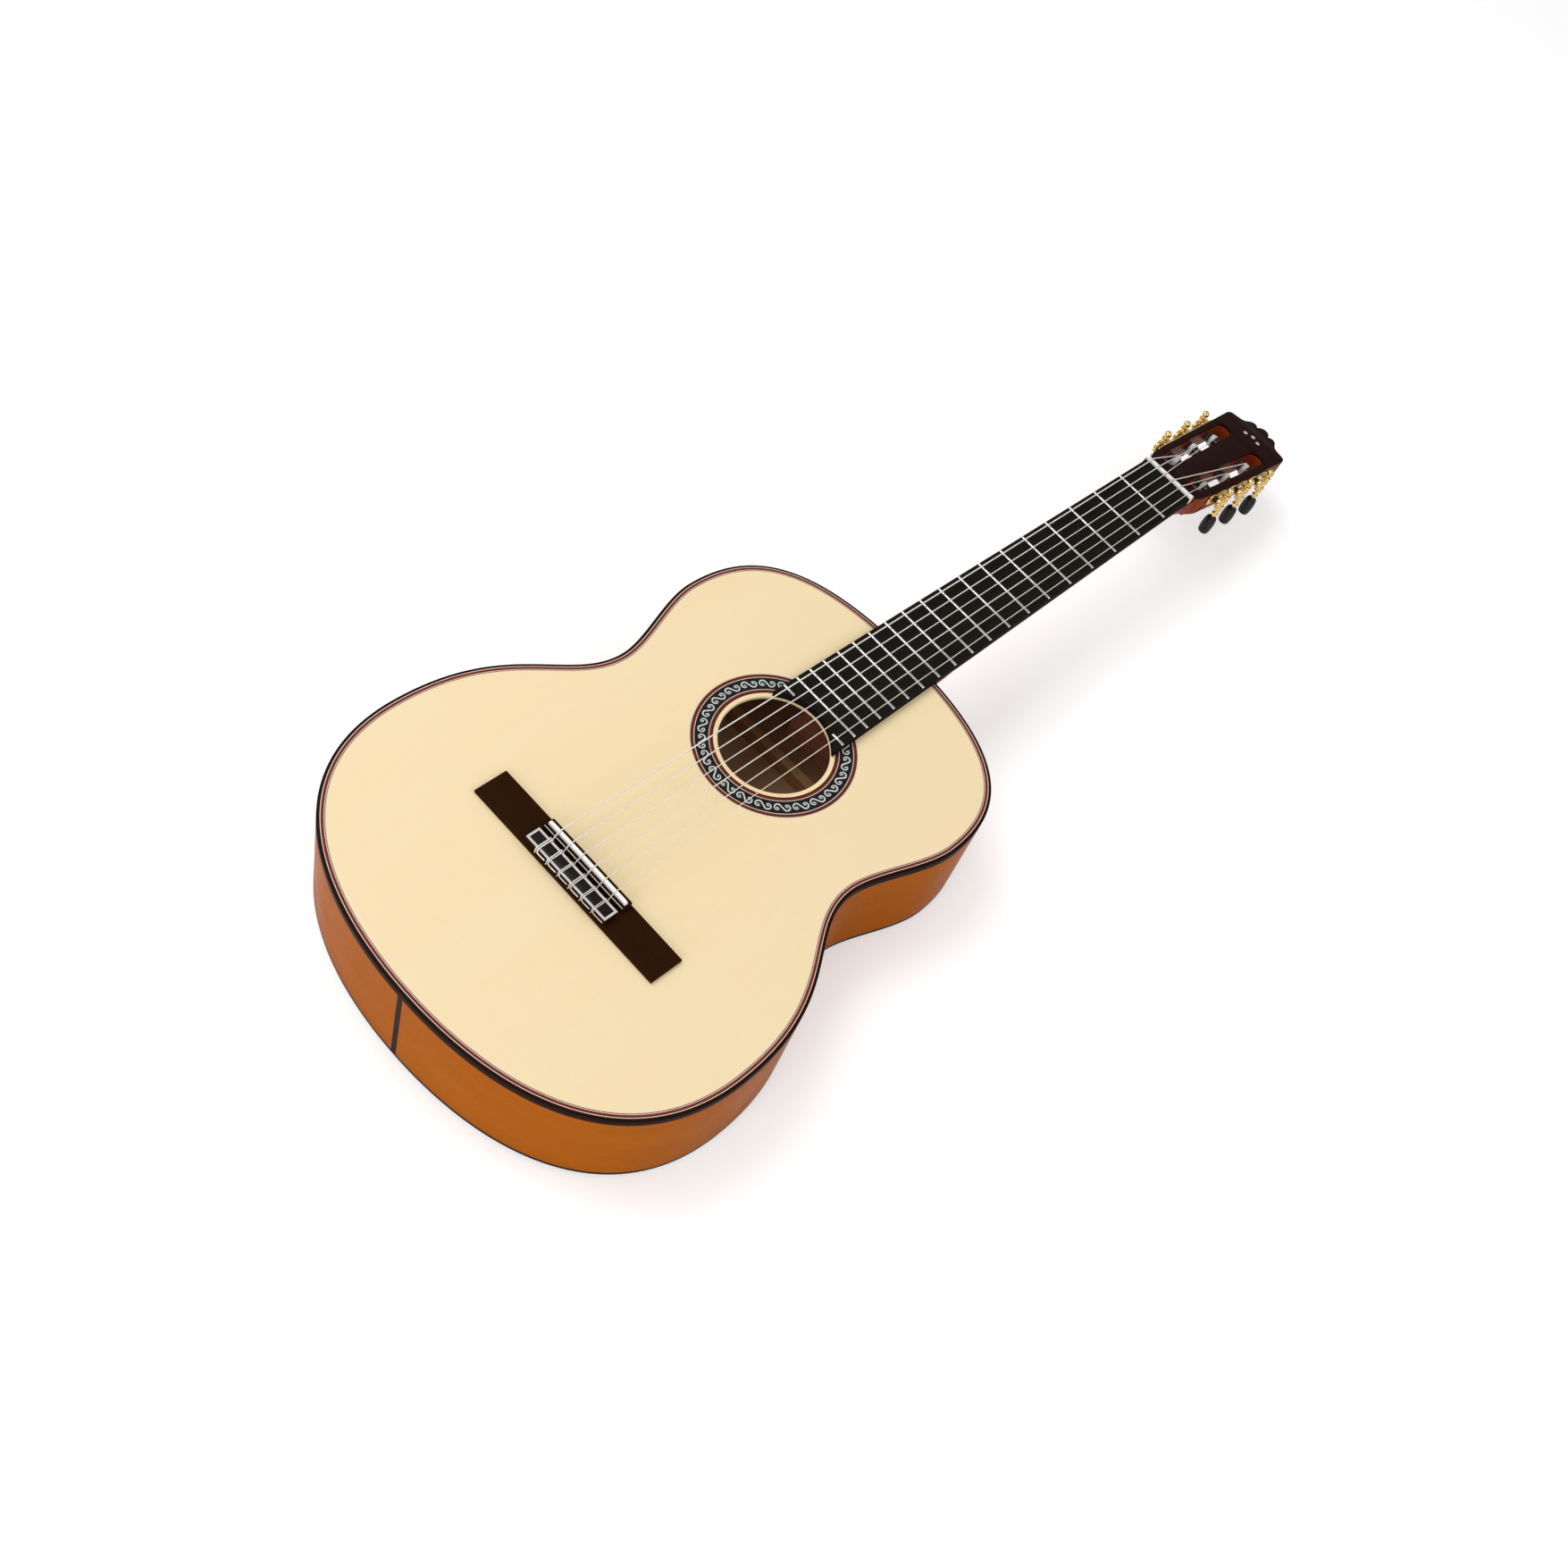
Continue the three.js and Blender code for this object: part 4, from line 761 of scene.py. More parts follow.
def clear_line(name, base):
    """Plain nylon: a pale base with soft mottling that lets some of what lies behind it through."""
    material, steps, shader = new_material(name)
    spot = place_of(steps)
    mottle(steps, shader, spot, base, 0.9, 200.0)
    marks(steps, shader, spot, 0.2)
    shader.inputs["Alpha"].default_value = 0.62
    return material


def material(name, make, *values, **settings):
    """A finish by name, made the first time it is asked for, beside the flat material of the CAD."""
    name = f"{name}_finish"
    return bpy.data.materials.get(name) or make(name, *values, **settings)


def spruce():
    """Pale, fine-ringed spruce for the top, opened like a book about its middle."""
    return material(
        "spruce_top", wood, look("guitar_body").spruce, ring_width=1.3, wander=4.0, late=5.0,
        ring_depth=0.22, fibre_depth=0.1, shade_depth=0.16, tint=(0.93, 0.83, 0.66), mirrored=True,
        roughness=0.35, specular=0.3, grain_bump=0.006, rays=0.25,
    )


def cypress(flow):
    """Golden cypress: the sides' grain follows their bend, the back's runs straight."""
    return material(
        "cypress_sides" if flow else "cypress_back", wood, look("guitar_body").cypress,
        ring_width=3.6, wander=5.0, late=2.0, ring_depth=0.4, fibre_depth=0.35, shade_depth=0.55,
        tint=(0.72, 0.52, 0.4), mirrored=not flow, flow=flow, roughness=0.3, specular=0.25, ior=1.1,
        grain_bump=0.01, rays=0.3, raw_above=None if flow else 1.5,
    )


def mahogany(name="mahogany", along="y", base=None):
    """Red-brown mahogany with open pores, for the neck and blocks; the blocks' far paler base is painted
    light.
    """
    return material(
        name, wood, base or look("guitar_neck").mahogany, ring_width=5.0, wander=4.0, late=1.6,
        ring_depth=0.3, fibre_depth=0.5, shade_depth=0.4, tint=(0.62, 0.5, 0.45), along=along,
        roughness=0.3, specular=0.15, coat=0.05, grain_bump=0.02,
    )


def ebony():
    """Near-black ebony with an oiled surface."""
    return material(
        "ebony", wood, look("guitar_neck").ebony, ring_width=2.4, wander=3.0, late=2.0,
        ring_depth=0.45, fibre_depth=0.75, shade_depth=0.3, tint=(0.6, 0.55, 0.5), roughness=0.5,
        specular=0.1, ior=1.1, grain_bump=0.03,
    )


def headplate_wood():
    """The head's dark red-brown veneer."""
    return material(
        "headplate_wood", wood, look("guitar_neck").headplate, ring_width=4.0, wander=5.0, late=2.0,
        ring_depth=0.5, fibre_depth=0.4, shade_depth=0.4, tint=(0.7, 0.5, 0.45), roughness=0.25,
        specular=0.1, grain_bump=0.006,
    )


def rosewood():
    """Dark rosewood with its grain along the bridge."""
    return material(
        "bridge_rosewood", wood, look("guitar_bridge").rosewood, ring_width=3.0, wander=3.0,
        late=2.0, ring_depth=0.5, fibre_depth=0.6, shade_depth=0.4, tint=(0.7, 0.55, 0.4),
        along="x", roughness=0.38, specular=0.12, grain_bump=0.025,
    )


def binding_wood():
    """Dark wood for the bindings and strips."""
    return material(
        "binding_wood", wood, look("guitar_body").binding, ring_width=2.0, ring_depth=0.4,
        fibre_depth=0.4, tint=(0.6, 0.5, 0.45), roughness=0.3, specular=0.12, grain_bump=0.006,
    )


def purfling_wood():
    """Reddish wood for the purfling bands."""
    return material(
        "purfling_wood", wood, look("guitar_body").purfling, ring_width=2.0, ring_depth=0.3,
        fibre_depth=0.4, tint=(0.7, 0.5, 0.45), roughness=0.3, specular=0.15,
        grain_bump=0.004,
    )


def maple():
    """Pale wood for the fine lines."""
    return material("maple_line", polished, look("guitar_body").maple, roughness=0.3, scale=400.0)


def cedar():
    """Raw pale brown wood for the braces and linings."""
    return material(
        "cedar", wood, [linear(part / 255) for part in (205, 160, 115)], ring_width=2.2, wander=3.0,
        ring_depth=0.4, fibre_depth=0.4, shade_depth=0.3, tint=(0.7, 0.52, 0.38), along="x",
        roughness=0.7, specular=0.15, grain_bump=0.03,
    )


def bone():
    """Bone for the nut and saddle."""
    return material("bone", polished, look("guitar_neck").bone, roughness=0.3, variation=0.06)


def gold():
    """Gold plate for the tuning machines."""
    return material("gold_plate", metal, look("guitar_machines").gold, roughness=0.16)


def nickel():
    """Nickel silver for the frets."""
    return material("nickel_silver", metal, look("guitar_neck").nickel, roughness=0.25, shade=0.85)


# ---------------------------------------------------------------- body pieces

def soundboard_piece(outline):
    """The soundboard with its rebates for the rosette and the purflings.

    A closed section is carried round: from the hole's edge over the face to the rebate at the
    outline, then back underneath. Points between the hole and the outline slide from circle to
    outline in proportion.
    """
    hole, low, floor = mm(look("guitar_body").hole_radius), PLATE_LOW[2], TOP - ROSETTE_DEPTH
    inner, outer = rosette_radii()[0], rosette_radii()[-1]
    centre = np.array([0, HOLE_Y])
    edge = purfling_insets()[-1]
    away = outline.inset(edge) - centre
    direction = away / np.linalg.norm(away, axis=1)[:, None]

    def circle(radius):
        return centre + direction * radius

    loops = [
        (circle(hole), low), (circle(hole), TOP - 0.7), (circle(hole + 0.2), TOP - 0.2),
        (circle(hole + 0.7), TOP), (circle(inner), TOP), (circle(inner), floor),
        (circle(outer), floor),
    ]
    for share in np.linspace(0, 1, 9):
        loops.append((circle(outer) * (1 - share) + outline.inset(edge) * share, TOP))
    loops += [
        (outline.inset(edge), floor), (outline.inset(SIDE_THICKNESS + 0.1), floor),
        (outline.inset(SIDE_THICKNESS + 0.1), low),
    ]
    grid = np.stack([np.column_stack([loop, np.full(len(loop), z)]) for loop, z in loops], axis=1)
    return surface(grid, wrap_rows=True, wrap_columns=True)


def purfling_insets():
    """Insets of the lines between the binding and the spruce, from outside in."""
    widths = [0.55, 1.95, 0.5, 0.5, 0.5]
    return mm(look("guitar_body").binding_width) + np.concatenate([[0], np.cumsum(widths)])


def strip(outline, outer, inner, low, high):
    """A flat line inlaid round the face: a rectangle carried round the edge."""
    return band(outline, [(outer, high), (inner, high), (inner, low), (outer, low)])


class GUITAR_OT_soundboard(bpy.types.Operator):
    """Build the spruce soundboard with its rebates"""

    bl_idname = "guitar.soundboard"
    bl_label = "Soundboard"

    def execute(self, context):
        outline = Outline()
        add_piece("spruce_soundboard", [soundboard_piece(outline)], spruce(), "spruce",
                  replaces=["soundboard"], sharp=28)
        return {"FINISHED"}


class GUITAR_OT_edging(bpy.types.Operator):
    """Build the bindings and the purfling lines round the body"""

    bl_idname = "guitar.edging"
    bl_label = "Bindings and purflings"

    def execute(self, context):
        outline = Outline()
        sizes = look("guitar_body")
        floor = TOP - ROSETTE_DEPTH
        width, rounding = mm(sizes.binding_width), mm(sizes.rounding)
        top_section = rounded_edge(width, BODY_LOW[2], TOP, rounding)
        add_piece("top_binding", [band(outline, top_section)], binding_wood(), "ebony",
                  replaces=["binding_top"], sharp=50)
        back_section = rounded_edge(SIDE_THICKNESS, BACK_HIGH[2], BACK_LOW[2], -rounding)
        back_section[:, 0] = np.abs(back_section[:, 0])
        add_piece("back_edge_binding", [band(outline, back_section)], binding_wood(), "ebony",
                  replaces=["binding_back"], sharp=50)
        insets = purfling_insets()
        woods = [maple(), purfling_wood(), maple(), purfling_wood(), maple()]
        names = ["white_line", "red_band", "tan_line", "dark_line", "inner_tan_line"]
        for name, finish, outer, inner in zip(names, woods, insets, insets[1:]):
            add_piece(f"purfling_{name}", [strip(outline, outer, inner, floor, TOP)], finish, "mosaic")
        return {"FINISHED"}


class GUITAR_OT_sides(bpy.types.Operator):
    """Build the bent sides and the strip that covers their joint at the tail"""

    bl_idname = "guitar.sides"
    bl_label = "Sides"

    def execute(self, context):
        outline = Outline()
        low, high = GRAFT_LOW[2], GRAFT_HIGH[2]
        half = GRAFT_HIGH[0]
        heights = np.linspace(low, high, 9)
        section = [(0, height) for height in heights]
        section += [(SIDE_THICKNESS, height) for height in heights[::-1]]
        for side, word in ((-1, "bass"), (1, "treble")):
            part, flow = half_band(outline, section, half, side)
            add_piece(f"bent_side_{word}", [part], cypress(True), "cypress",
                      replaces=[f"side_{word}"], sharp=40, flow=flow)
        add_piece("tail_strip", [tail_strip_piece(outline)], binding_wood(), "ebony",
                  replaces=["end_graft"])
        return {"FINISHED"}


def tail_strip_piece(outline):
    """The strip over the sides' joint: a slab that follows the outline across the tail."""
    half, low, high = GRAFT_HIGH[0], GRAFT_LOW[2], GRAFT_HIGH[2]
    x = np.linspace(-half, half, 5)
    near_tail = outline.half[:60]
    edge = np.interp(np.abs(x), near_tail[:, 0], near_tail[:, 1])
    proud = 0.04
    faces = [
        np.stack([np.column_stack([x, y, np.full_like(x, z)]) for z in (low, high)])
        for y in (edge - proud, edge + SIDE_THICKNESS)
    ]
    return slab(*faces)


class GUITAR_OT_back(bpy.types.Operator):
    """Build the two-piece back with its centre strip"""

    bl_idname = "guitar.back"
    bl_label = "Back"

    def execute(self, context):
        add_piece("cypress_back", [back_piece()], cypress(False), "cypress",
                  replaces=["back_plate"], sharp=40)
        strip_half, line_width = 2.5, 0.7
        for name, inner, outer, finish, slot in (
            ("back_centre_strip", 0.0, strip_half, binding_wood(), "ebony"),
            ("back_centre_lines", strip_half, strip_half + line_width, maple(), "mosaic"),
        ):
            parts = [back_line(side * inner, side * outer) for side in (-1, 1)]
            add_piece(name, parts, finish, slot)
        return {"FINISHED"}


def back_piece():
    """The back: loops that slide in proportion from the centre line to the rim, on both faces."""
    clearance, thickness = 0.05, box_mm("back_plate")[1][2]
    rim = Outline().inset(SIDE_THICKNESS + clearance)
    centre_line = rim * [0, 1]
    loops = [centre_line * (1 - share) + rim * share for share in np.linspace(0, 1, 12)]
    low = np.stack([np.column_stack([loop, np.zeros(len(loop))]) for loop in loops], axis=1)
    grid = np.concatenate([low, low[:, ::-1] + [0, 0, thickness]], axis=1)
    return surface(grid, wrap_rows=True)


def back_line(inner, outer):
    """A straight line let into the back from tail to neck, between two places across it."""
    proud, sunk = 0.05, 0.6
    y = np.linspace(TAIL_Y + 4, JOIN_Y - 1, 40)
    faces = [
        np.stack([
            np.column_stack([np.full_like(y, x), y, np.full_like(y, z)]) for x in (inner, outer)])
        for z in (-proud, sunk)
    ]
    return slab(*faces)


class GUITAR_OT_inside(bpy.types.Operator):
    """Give the braces, linings and blocks inside the body their raw wood"""

    bl_idname = "guitar.inside"
    bl_label = "Inside woods"

    def execute(self, context):
        for name, node in frame["nodes"].items():
            if name.startswith(("lining", "harmonic", "back_brace")):
                repaint(node, cedar())
            elif name.startswith("fan_brace"):
                repaint(node, spruce())
            elif name.endswith("_block"):
                # The blocks' base is far paler than mahogany: painted light, standing in for light that
                # falls short inside the body.
                repaint(node, mahogany("mahogany_block", "x", (0.95, 0.42, 0.28)))
        return {"FINISHED"}


def repaint(node, finish):
    """Gives a carried-over CAD node a finish of its own."""
    node.data.materials.clear()
    node.data.materials.append(finish)


# ---------------------------------------------------------------- rosette

def rosette_radii():
    """Radii of the rosette's rings from the inside out, between its CAD edges."""
    inner = mm(look("guitar_body").hole_radius) + ROSETTE_FROM_HOLE_EDGE
    outer = (ROSETTE_HIGH[0] - ROSETTE_LOW[0]) / 2
    return [inner, inner + 2.9, inner + 3.45, outer - 3.9, outer - 3.35, outer - 0.9, outer]


def flat_ring(inner, outer, low, high, steps=240):
    """A rectangle turned about the soundhole's centre."""
    part = turned([(inner, high), (outer, high), (outer, low), (inner, low)], steps)
    return moved(part, place(0, HOLE_Y, 0))


def place(x, y, z):
    """The matrix of a shift."""
    matrix = np.eye(4)
    matrix[:3, 3] = (x, y, z)
    return matrix


def scroll_stroke(length_along, height, stroke, count=44):
    """Centre line and half width of one S-shaped scroll.

    Two round curls, one turned half way round from the other, are joined by a slanting stem.
    The angle runs about three quarters of a circle in each curl while the curl's radius grows,
    and the stroke swells in the stem.
    """
    bend = height / 2 - stroke / 2
    centre = length_along / 2 - bend - stroke / 2
    turn = np.linspace(math.radians(40), math.radians(305), count // 2)
    shrink = np.linspace(0.62, 1.0, count // 2)
    curl = np.column_stack([
        -centre + bend * shrink * np.cos(turn),
        bend * shrink * np.sin(turn),
    ])
    line = np.vstack([curl, -curl[::-1]])
    reach = np.linspace(-1, 1, len(line))
    width = stroke / 2 * (0.35 + 0.65 * (1 - reach ** 2) ** 0.6)
    return line, width


def ribbon(line, width, low, high, bend):
    """A flat ribbon: the line moved to each side by its width, wrapped by the bend function."""
    ahead = np.gradient(line, axis=0)
    ahead /= np.linalg.norm(ahead, axis=1)[:, None]
    across = np.column_stack([-ahead[:, 1], ahead[:, 0]]) * width[:, None]
    edges = [bend(line + across), bend(line - across)]
    faces = [
        np.stack([np.column_stack([edge, np.full(len(edge), z)]) for edge in edges])
        for z in (high, low)
    ]
    return slab(*faces)


def wrapped_round(radius, angle):
    """Turns (along, across) points into points on a ring about the hole's centre."""
    def bend(points):
        turn = angle + points[:, 0] / radius
        reach = radius + points[:, 1]
        return np.column_stack([reach * np.cos(turn), HOLE_Y + reach * np.sin(turn)])
    return bend


class GUITAR_OT_rosette(bpy.types.Operator):
    """Build the rosette: rings, pale lines and a run of inlaid scrolls"""

    bl_idname = "guitar.rosette"
    bl_label = "Rosette"

    def execute(self, context):
        sizes = look("guitar_rosette")
        radii = rosette_radii()
        low = ROSETTE_LOW[2]
        band_wood = material(
            "rosette_band", wood, sizes.band, ring_width=1.2, ring_depth=0.4, fibre_depth=0.4,
            tint=(0.6, 0.5, 0.45), roughness=0.3, specular=0.15, grain_bump=0.004,
        )
        ground = material(
            "rosette_ground", polished, sizes.ground, roughness=0.25, specular=0.25, coat=0.2)
        shell = material(
            "rosette_inlay", polished, sizes.inlay, roughness=0.22, variation=0.22, scale=600.0)
        rings = [
            ("inner_band", 0, band_wood), ("inner_line", 1, maple()), ("ground", 2, ground),
            ("outer_line", 3, maple()), ("outer_band", 4, band_wood), ("outer_edge", 5, maple()),
        ]
        for name, step, finish in rings:
            stand_for = ["rosette"] if name == "ground" else []
            add_piece(f"rosette_{name}", [flat_ring(radii[step], radii[step + 1], low, TOP)],
                      finish, "mosaic", replaces=stand_for)
        sunk, proud = TOP - 0.5, TOP + 0.02
        add_piece("rosette_fine_lines", [
            flat_ring(start, start + 0.4, sunk, proud) for start in (radii[0] + 0.9, radii[5] - 0.5)
        ], ground, "mosaic")
        middle = (radii[2] + radii[3]) / 2
        long, tall = mm(sizes.scroll_length), mm(sizes.scroll_height)
        line, width = scroll_stroke(long, tall, mm(sizes.scroll_stroke))
        leaf_reach = np.linspace(-1, 1, 7)
        leaf_line = np.column_stack([1.15 * leaf_reach, np.zeros(7)])
        leaf_width = 0.55 * np.sqrt(1 - leaf_reach ** 2) + 0.04
        leaf_place = (long - tall) / 2
        tilt = math.radians(35)
        turn = np.array([[math.cos(tilt), math.sin(tilt)], [-math.sin(tilt), math.cos(tilt)]])
        parts = []
        for number in range(sizes.scrolls):
            bend = wrapped_round(middle, 2 * math.pi * (number + 0.5) / sizes.scrolls)
            parts.append(ribbon(line, width, sunk, proud + 0.01, bend))
            for side in (-1, 1):
                leaf = (leaf_line @ turn + [leaf_place, -0.35]) * side
                parts.append(ribbon(leaf, leaf_width, sunk, proud + 0.01, bend))
        add_piece("rosette_scrolls", parts, shell, "mosaic")
        return {"FINISHED"}


# ---------------------------------------------------------------- neck, fingerboard, nut

BOARD_HALF_AT_BODY = 31.0
NECK_DEPTH_AT_NUT = 15.0
NECK_DEPTH_AT_BODY = 18.0
NECK_LENGTH = NUT_Y - JOIN_Y
JOINT_GAP = 0.3
HEEL_SWEEP = 2.4


def neck_half_width(y):
    """Half the neck's width at a distance from the nut, straight from nut to body."""
    nut_half = NUT_HIGH[0]
    return nut_half + (BOARD_HALF_AT_BODY - nut_half) * (NUT_Y - y) / NECK_LENGTH


def neck_piece():
    """The neck's back and heel as one carved surface.

    At each place along the neck the section runs from the upper edge down to the centre line.
    Its depth is the smooth maximum of the shaft's depth and the heel's, and its half width at
    each height is the smooth maximum of the shaft's half ellipse and the heel's. Towards the
    head the half ellipse grows squarer, so that it flows into the head's flat back.
    """
    sizes = look("guitar_neck")
    cap_half, cap_length, reach = mm(sizes.heel_width), mm(sizes.heel_length), mm(sizes.heel_reach)
    heel_top = TOP - 6
    rise = np.linspace(0, 1, 40)
    near = np.linspace(0, cap_length - 0.01, 12)
    heel = cap_length + (reach - cap_length) * rise ** HEEL_SWEEP
    shaft = np.linspace(reach + 4, NECK_LENGTH - 24, 40)
    throat = np.linspace(NECK_LENGTH - 22, NECK_LENGTH + 9, 22)
    along = np.concatenate([near, heel, shaft, throat])
    level = np.clip((along - cap_length) / (reach - cap_length), 0, 1) ** (1 / HEEL_SWEEP)
    heel_depth = np.where(along < cap_length, TOP, TOP - heel_top * level)
    heel_depth = np.where(along > reach, 0, heel_depth)
    share = np.clip(along / NECK_LENGTH, 0, 1.1)
    shaft_depth = NECK_DEPTH_AT_BODY + (NECK_DEPTH_AT_NUT - NECK_DEPTH_AT_BODY) * share
    past = np.clip((along - NECK_LENGTH + 18) / 27, 0, 1)
    shaft_depth = shaft_depth + 3.6 * past ** 2
    depth = smooth_max(heel_depth, shaft_depth, 5.0)
    depth = np.minimum(depth, TOP)
    turn = np.linspace(0, math.pi / 2, 26)
    fall = depth[:, None] * np.sin(turn)
    power = 2 + 5 * past[:, None] ** 1.5
    ratio = np.clip(fall / (shaft_depth[:, None] + 1e-6), 0, 1)
    half = neck_half_width(JOIN_Y + along)[:, None] - 0.05 + 2.2 * past[:, None] ** 2
    ellipse = half * (1 - ratio ** power) ** (1 / power)
    height = TOP - fall
    climb = np.clip(height / heel_top, 0, 1)
    heel_half = cap_half + (BOARD_HALF_AT_BODY - 1 - cap_half) * climb ** 1.3
    heel_length = cap_length + (reach - cap_length) * climb ** HEEL_SWEEP
    inside = np.clip(1 - (along[:, None] / heel_length) ** 2, 0, 1)
    heel_side = heel_half * np.sqrt(inside)
    width = smooth_max(ellipse, heel_side, 2.5)
    width = np.minimum(width, half)
    width[:, -1] = np.where(depth >= TOP - 0.01, width[:, -1], 0)
    y = np.broadcast_to((JOIN_Y + along + JOINT_GAP)[:, None], width.shape)
    right = np.stack([width, y, height], axis=-1)
    left = right[:, ::-1] * [-1, 1, 1]
    lid = np.stack([np.zeros(len(along)), y[:, 0], np.full(len(along), TOP)], axis=-1)[:, None]
    grid = np.concatenate([right, left, lid], axis=1)
    return surface(grid, wrap_columns=True, cap_rows=True)


def smooth_max(a, b, soft):
    """The larger of two numbers, rounded over where they are within the softness of each other."""
    near = np.clip(1 - np.abs(a - b) / soft, 0, 1)
    return np.maximum(a, b) + soft * near ** 2 / 4


HEAD_TILT = math.radians(12)
HEAD_RISE = 4.5
HEAD_START = NUT_HIGH[1] + 0.3
HEAD_THICKNESS = 20.0
HEAD_LENGTH = 172.0
HEAD_SHOULDER = (30.3, 18.0)
HEAD_CORNER = (34.7, 151.0)
HEADPLATE_THICKNESS = 2.5
HEAD_FLARE = math.atan2(HEAD_CORNER[0] - HEAD_SHOULDER[0], HEAD_CORNER[1] - HEAD_SHOULDER[1])
SLOT_WIDTH, SLOT_WALL, SLOT_START, SLOT_END = 15.0, 6.4, 14.0, 129.0


def head_matrix():
    """The head's own frame: y up its face from the nut, z out of its face."""
    tilt = Matrix.Rotation(-HEAD_TILT, 4, "X")
    return np.array(Matrix.Translation((0, HEAD_START, TOP + HEAD_RISE)) @ tilt)


def side_matrix(side):
    """The frame of one row of machines, on the head's edge."""
    start = HEAD_SHOULDER[0] - HEAD_SHOULDER[1] * math.tan(HEAD_FLARE)
    flare = Matrix.Rotation(-side * HEAD_FLARE, 4, "Z")
    return np.array(Matrix.Translation((side * start, 0, 0)) @ flare)


def head_outline():
    """The head's outline as Bezier curves: throat, side, rounded corner, hollow and three lobes."""
    corner, shoulder, throat = HEAD_CORNER[0], HEAD_SHOULDER[0], NUT_HIGH[0]
    hollow, lobe, notch = HEAD_LENGTH - 16, HEAD_LENGTH - 3, HEAD_LENGTH - 6.5
    side_end, hollow_start = (corner - 0.3, HEAD_CORNER[1] - 5), (corner - 5, hollow)
    outer_lobe = (17, notch - 3)
    curves = [
        [(throat, 0), (throat + 0.5, 7.2), (shoulder - 0.6, 9.9), HEAD_SHOULDER],
        [HEAD_SHOULDER, HEAD_SHOULDER, side_end, side_end],
        [side_end, (corner + 0.6, HEAD_CORNER[1]), (corner - 1, hollow - 0.5), hollow_start],
        [hollow_start, (corner - 11, hollow + 1.5), (20, hollow + 1), outer_lobe],
        [outer_lobe, (15, lobe), (9, lobe + 1), (7, notch)],
        [(7, notch), (5, HEAD_LENGTH - 1.4), (2.5, HEAD_LENGTH), (0, HEAD_LENGTH)],
    ]
    t = np.linspace(0, 1, 14, endpoint=False)[:, None]
    half = []
    for corners in np.asarray(curves, float):
        half.append(bezier(t, *corners))
    half = np.vstack(half + [[[0, HEAD_LENGTH]]])
    return np.vstack([half, half[-2::-1] * [-1, 1]])


def slot_outline(side, steps=16):
    """A long slot along the head's edge: two half circles joined by straight walls."""
    radius = SLOT_WIDTH / 2
    middle = -(SLOT_WALL + radius)
    turn = np.concatenate([
        np.linspace(math.pi, 2 * math.pi, steps), np.linspace(0, math.pi, steps)])
    centre = np.repeat([SLOT_START + radius, SLOT_END - radius], steps)
    across, up = middle + radius * np.cos(turn), centre + radius * np.sin(turn)
    loop = np.column_stack([across * side, up, np.zeros(len(turn)), np.ones(len(turn))])
    return (loop @ side_matrix(side).T)[:, :2]


def plate_with_holes(name, loops, low, high, bevel, matrix):
    """A flat plate cut to loops of points, with bevelled edges, as a mesh in the row frame.

    The plate is a filled flat curve, made solid and bevelled, turned into a mesh and then set
    in place.
    """
    curve = bpy.data.curves.new(name, "CURVE")
    curve.dimensions = "2D"
    curve.fill_mode = "BOTH"
    for loop in loops:
        spline = curve.splines.new("POLY")
        spline.points.add(len(loop) - 1)
        flat = np.column_stack([loop * MM, np.zeros(len(loop)), np.ones(len(loop))])
        spline.points.foreach_set("co", flat.astype(np.float32).ravel())
        spline.use_cyclic_u = True
    curve.offset = -bevel * MM
    curve.extrude = ((high - low) / 2 - bevel) * MM
    curve.bevel_depth = bevel * MM
    curve.bevel_resolution = 2
    shape = bpy.data.objects.new(name, curve)
    bpy.context.scene.collection.objects.link(shape)
    bpy.context.view_layer.update()
    mesh = bpy.data.meshes.new_from_object(shape)
    bpy.data.objects.remove(shape)
    bpy.data.curves.remove(curve)
    lift = Matrix.Translation((0, 0, (low + high) / 2 * MM))
    carry = Matrix(matrix.tolist())
    carry.translation = carry.translation * MM
    mesh.transform(carry @ lift)
    tidy = bmesh.new()
    tidy.from_mesh(mesh)
    bmesh.ops.remove_doubles(tidy, verts=tidy.verts, dist=1e-6)
    bmesh.ops.dissolve_degenerate(tidy, edges=tidy.edges, dist=1e-7)
    bmesh.ops.recalc_face_normals(tidy, faces=tidy.faces)
    tidy.to_mesh(mesh)
    tidy.free()
    mesh.materials.clear()
    return mesh


class GUITAR_OT_neck(bpy.types.Operator):
    """Carve the neck, heel and slotted head"""

    bl_idname = "guitar.neck"
    bl_label = "Neck and head"

    def execute(self, context):
        add_piece("carved_neck", [neck_piece()], mahogany(), "mahogany", replaces=["neck"], sharp=40)
        outline = head_outline()
        loops = [outline, slot_outline(-1), slot_outline(1)]
        seam = -HEADPLATE_THICKNESS
        core = plate_with_holes("head_core", loops, -HEAD_THICKNESS, seam, 0.5, head_matrix())
        finish_piece("head_core", core, mahogany(), "mahogany", ROOT, [], 40)
        veneer = plate_with_holes("head_veneer", loops, seam, 0, 0.35, head_matrix())
        finish_piece("head_veneer", veneer, headplate_wood(), "rosewood", ROOT, ["headplate"], 40)
        pearl = material(
            "pearl", polished, look("guitar_neck").pearl, roughness=0.15, variation=0.3, scale=500.0)
        dot = turned([(0, 0.08), (1.9, 0.08), (2.1, 0.0), (2.1, -0.6), (0, -0.6)], 28)
        dots = [
            moved(dot, head_matrix() @ place(x, y, 0)) for x, y in ((-7.5, 144), (0, 147), (7.5, 144))
        ]
        add_piece("head_dots", dots, pearl, "bone")
        add_piece("heel_cap", [heel_cap_piece()], binding_wood(), "ebony")
        return {"FINISHED"}


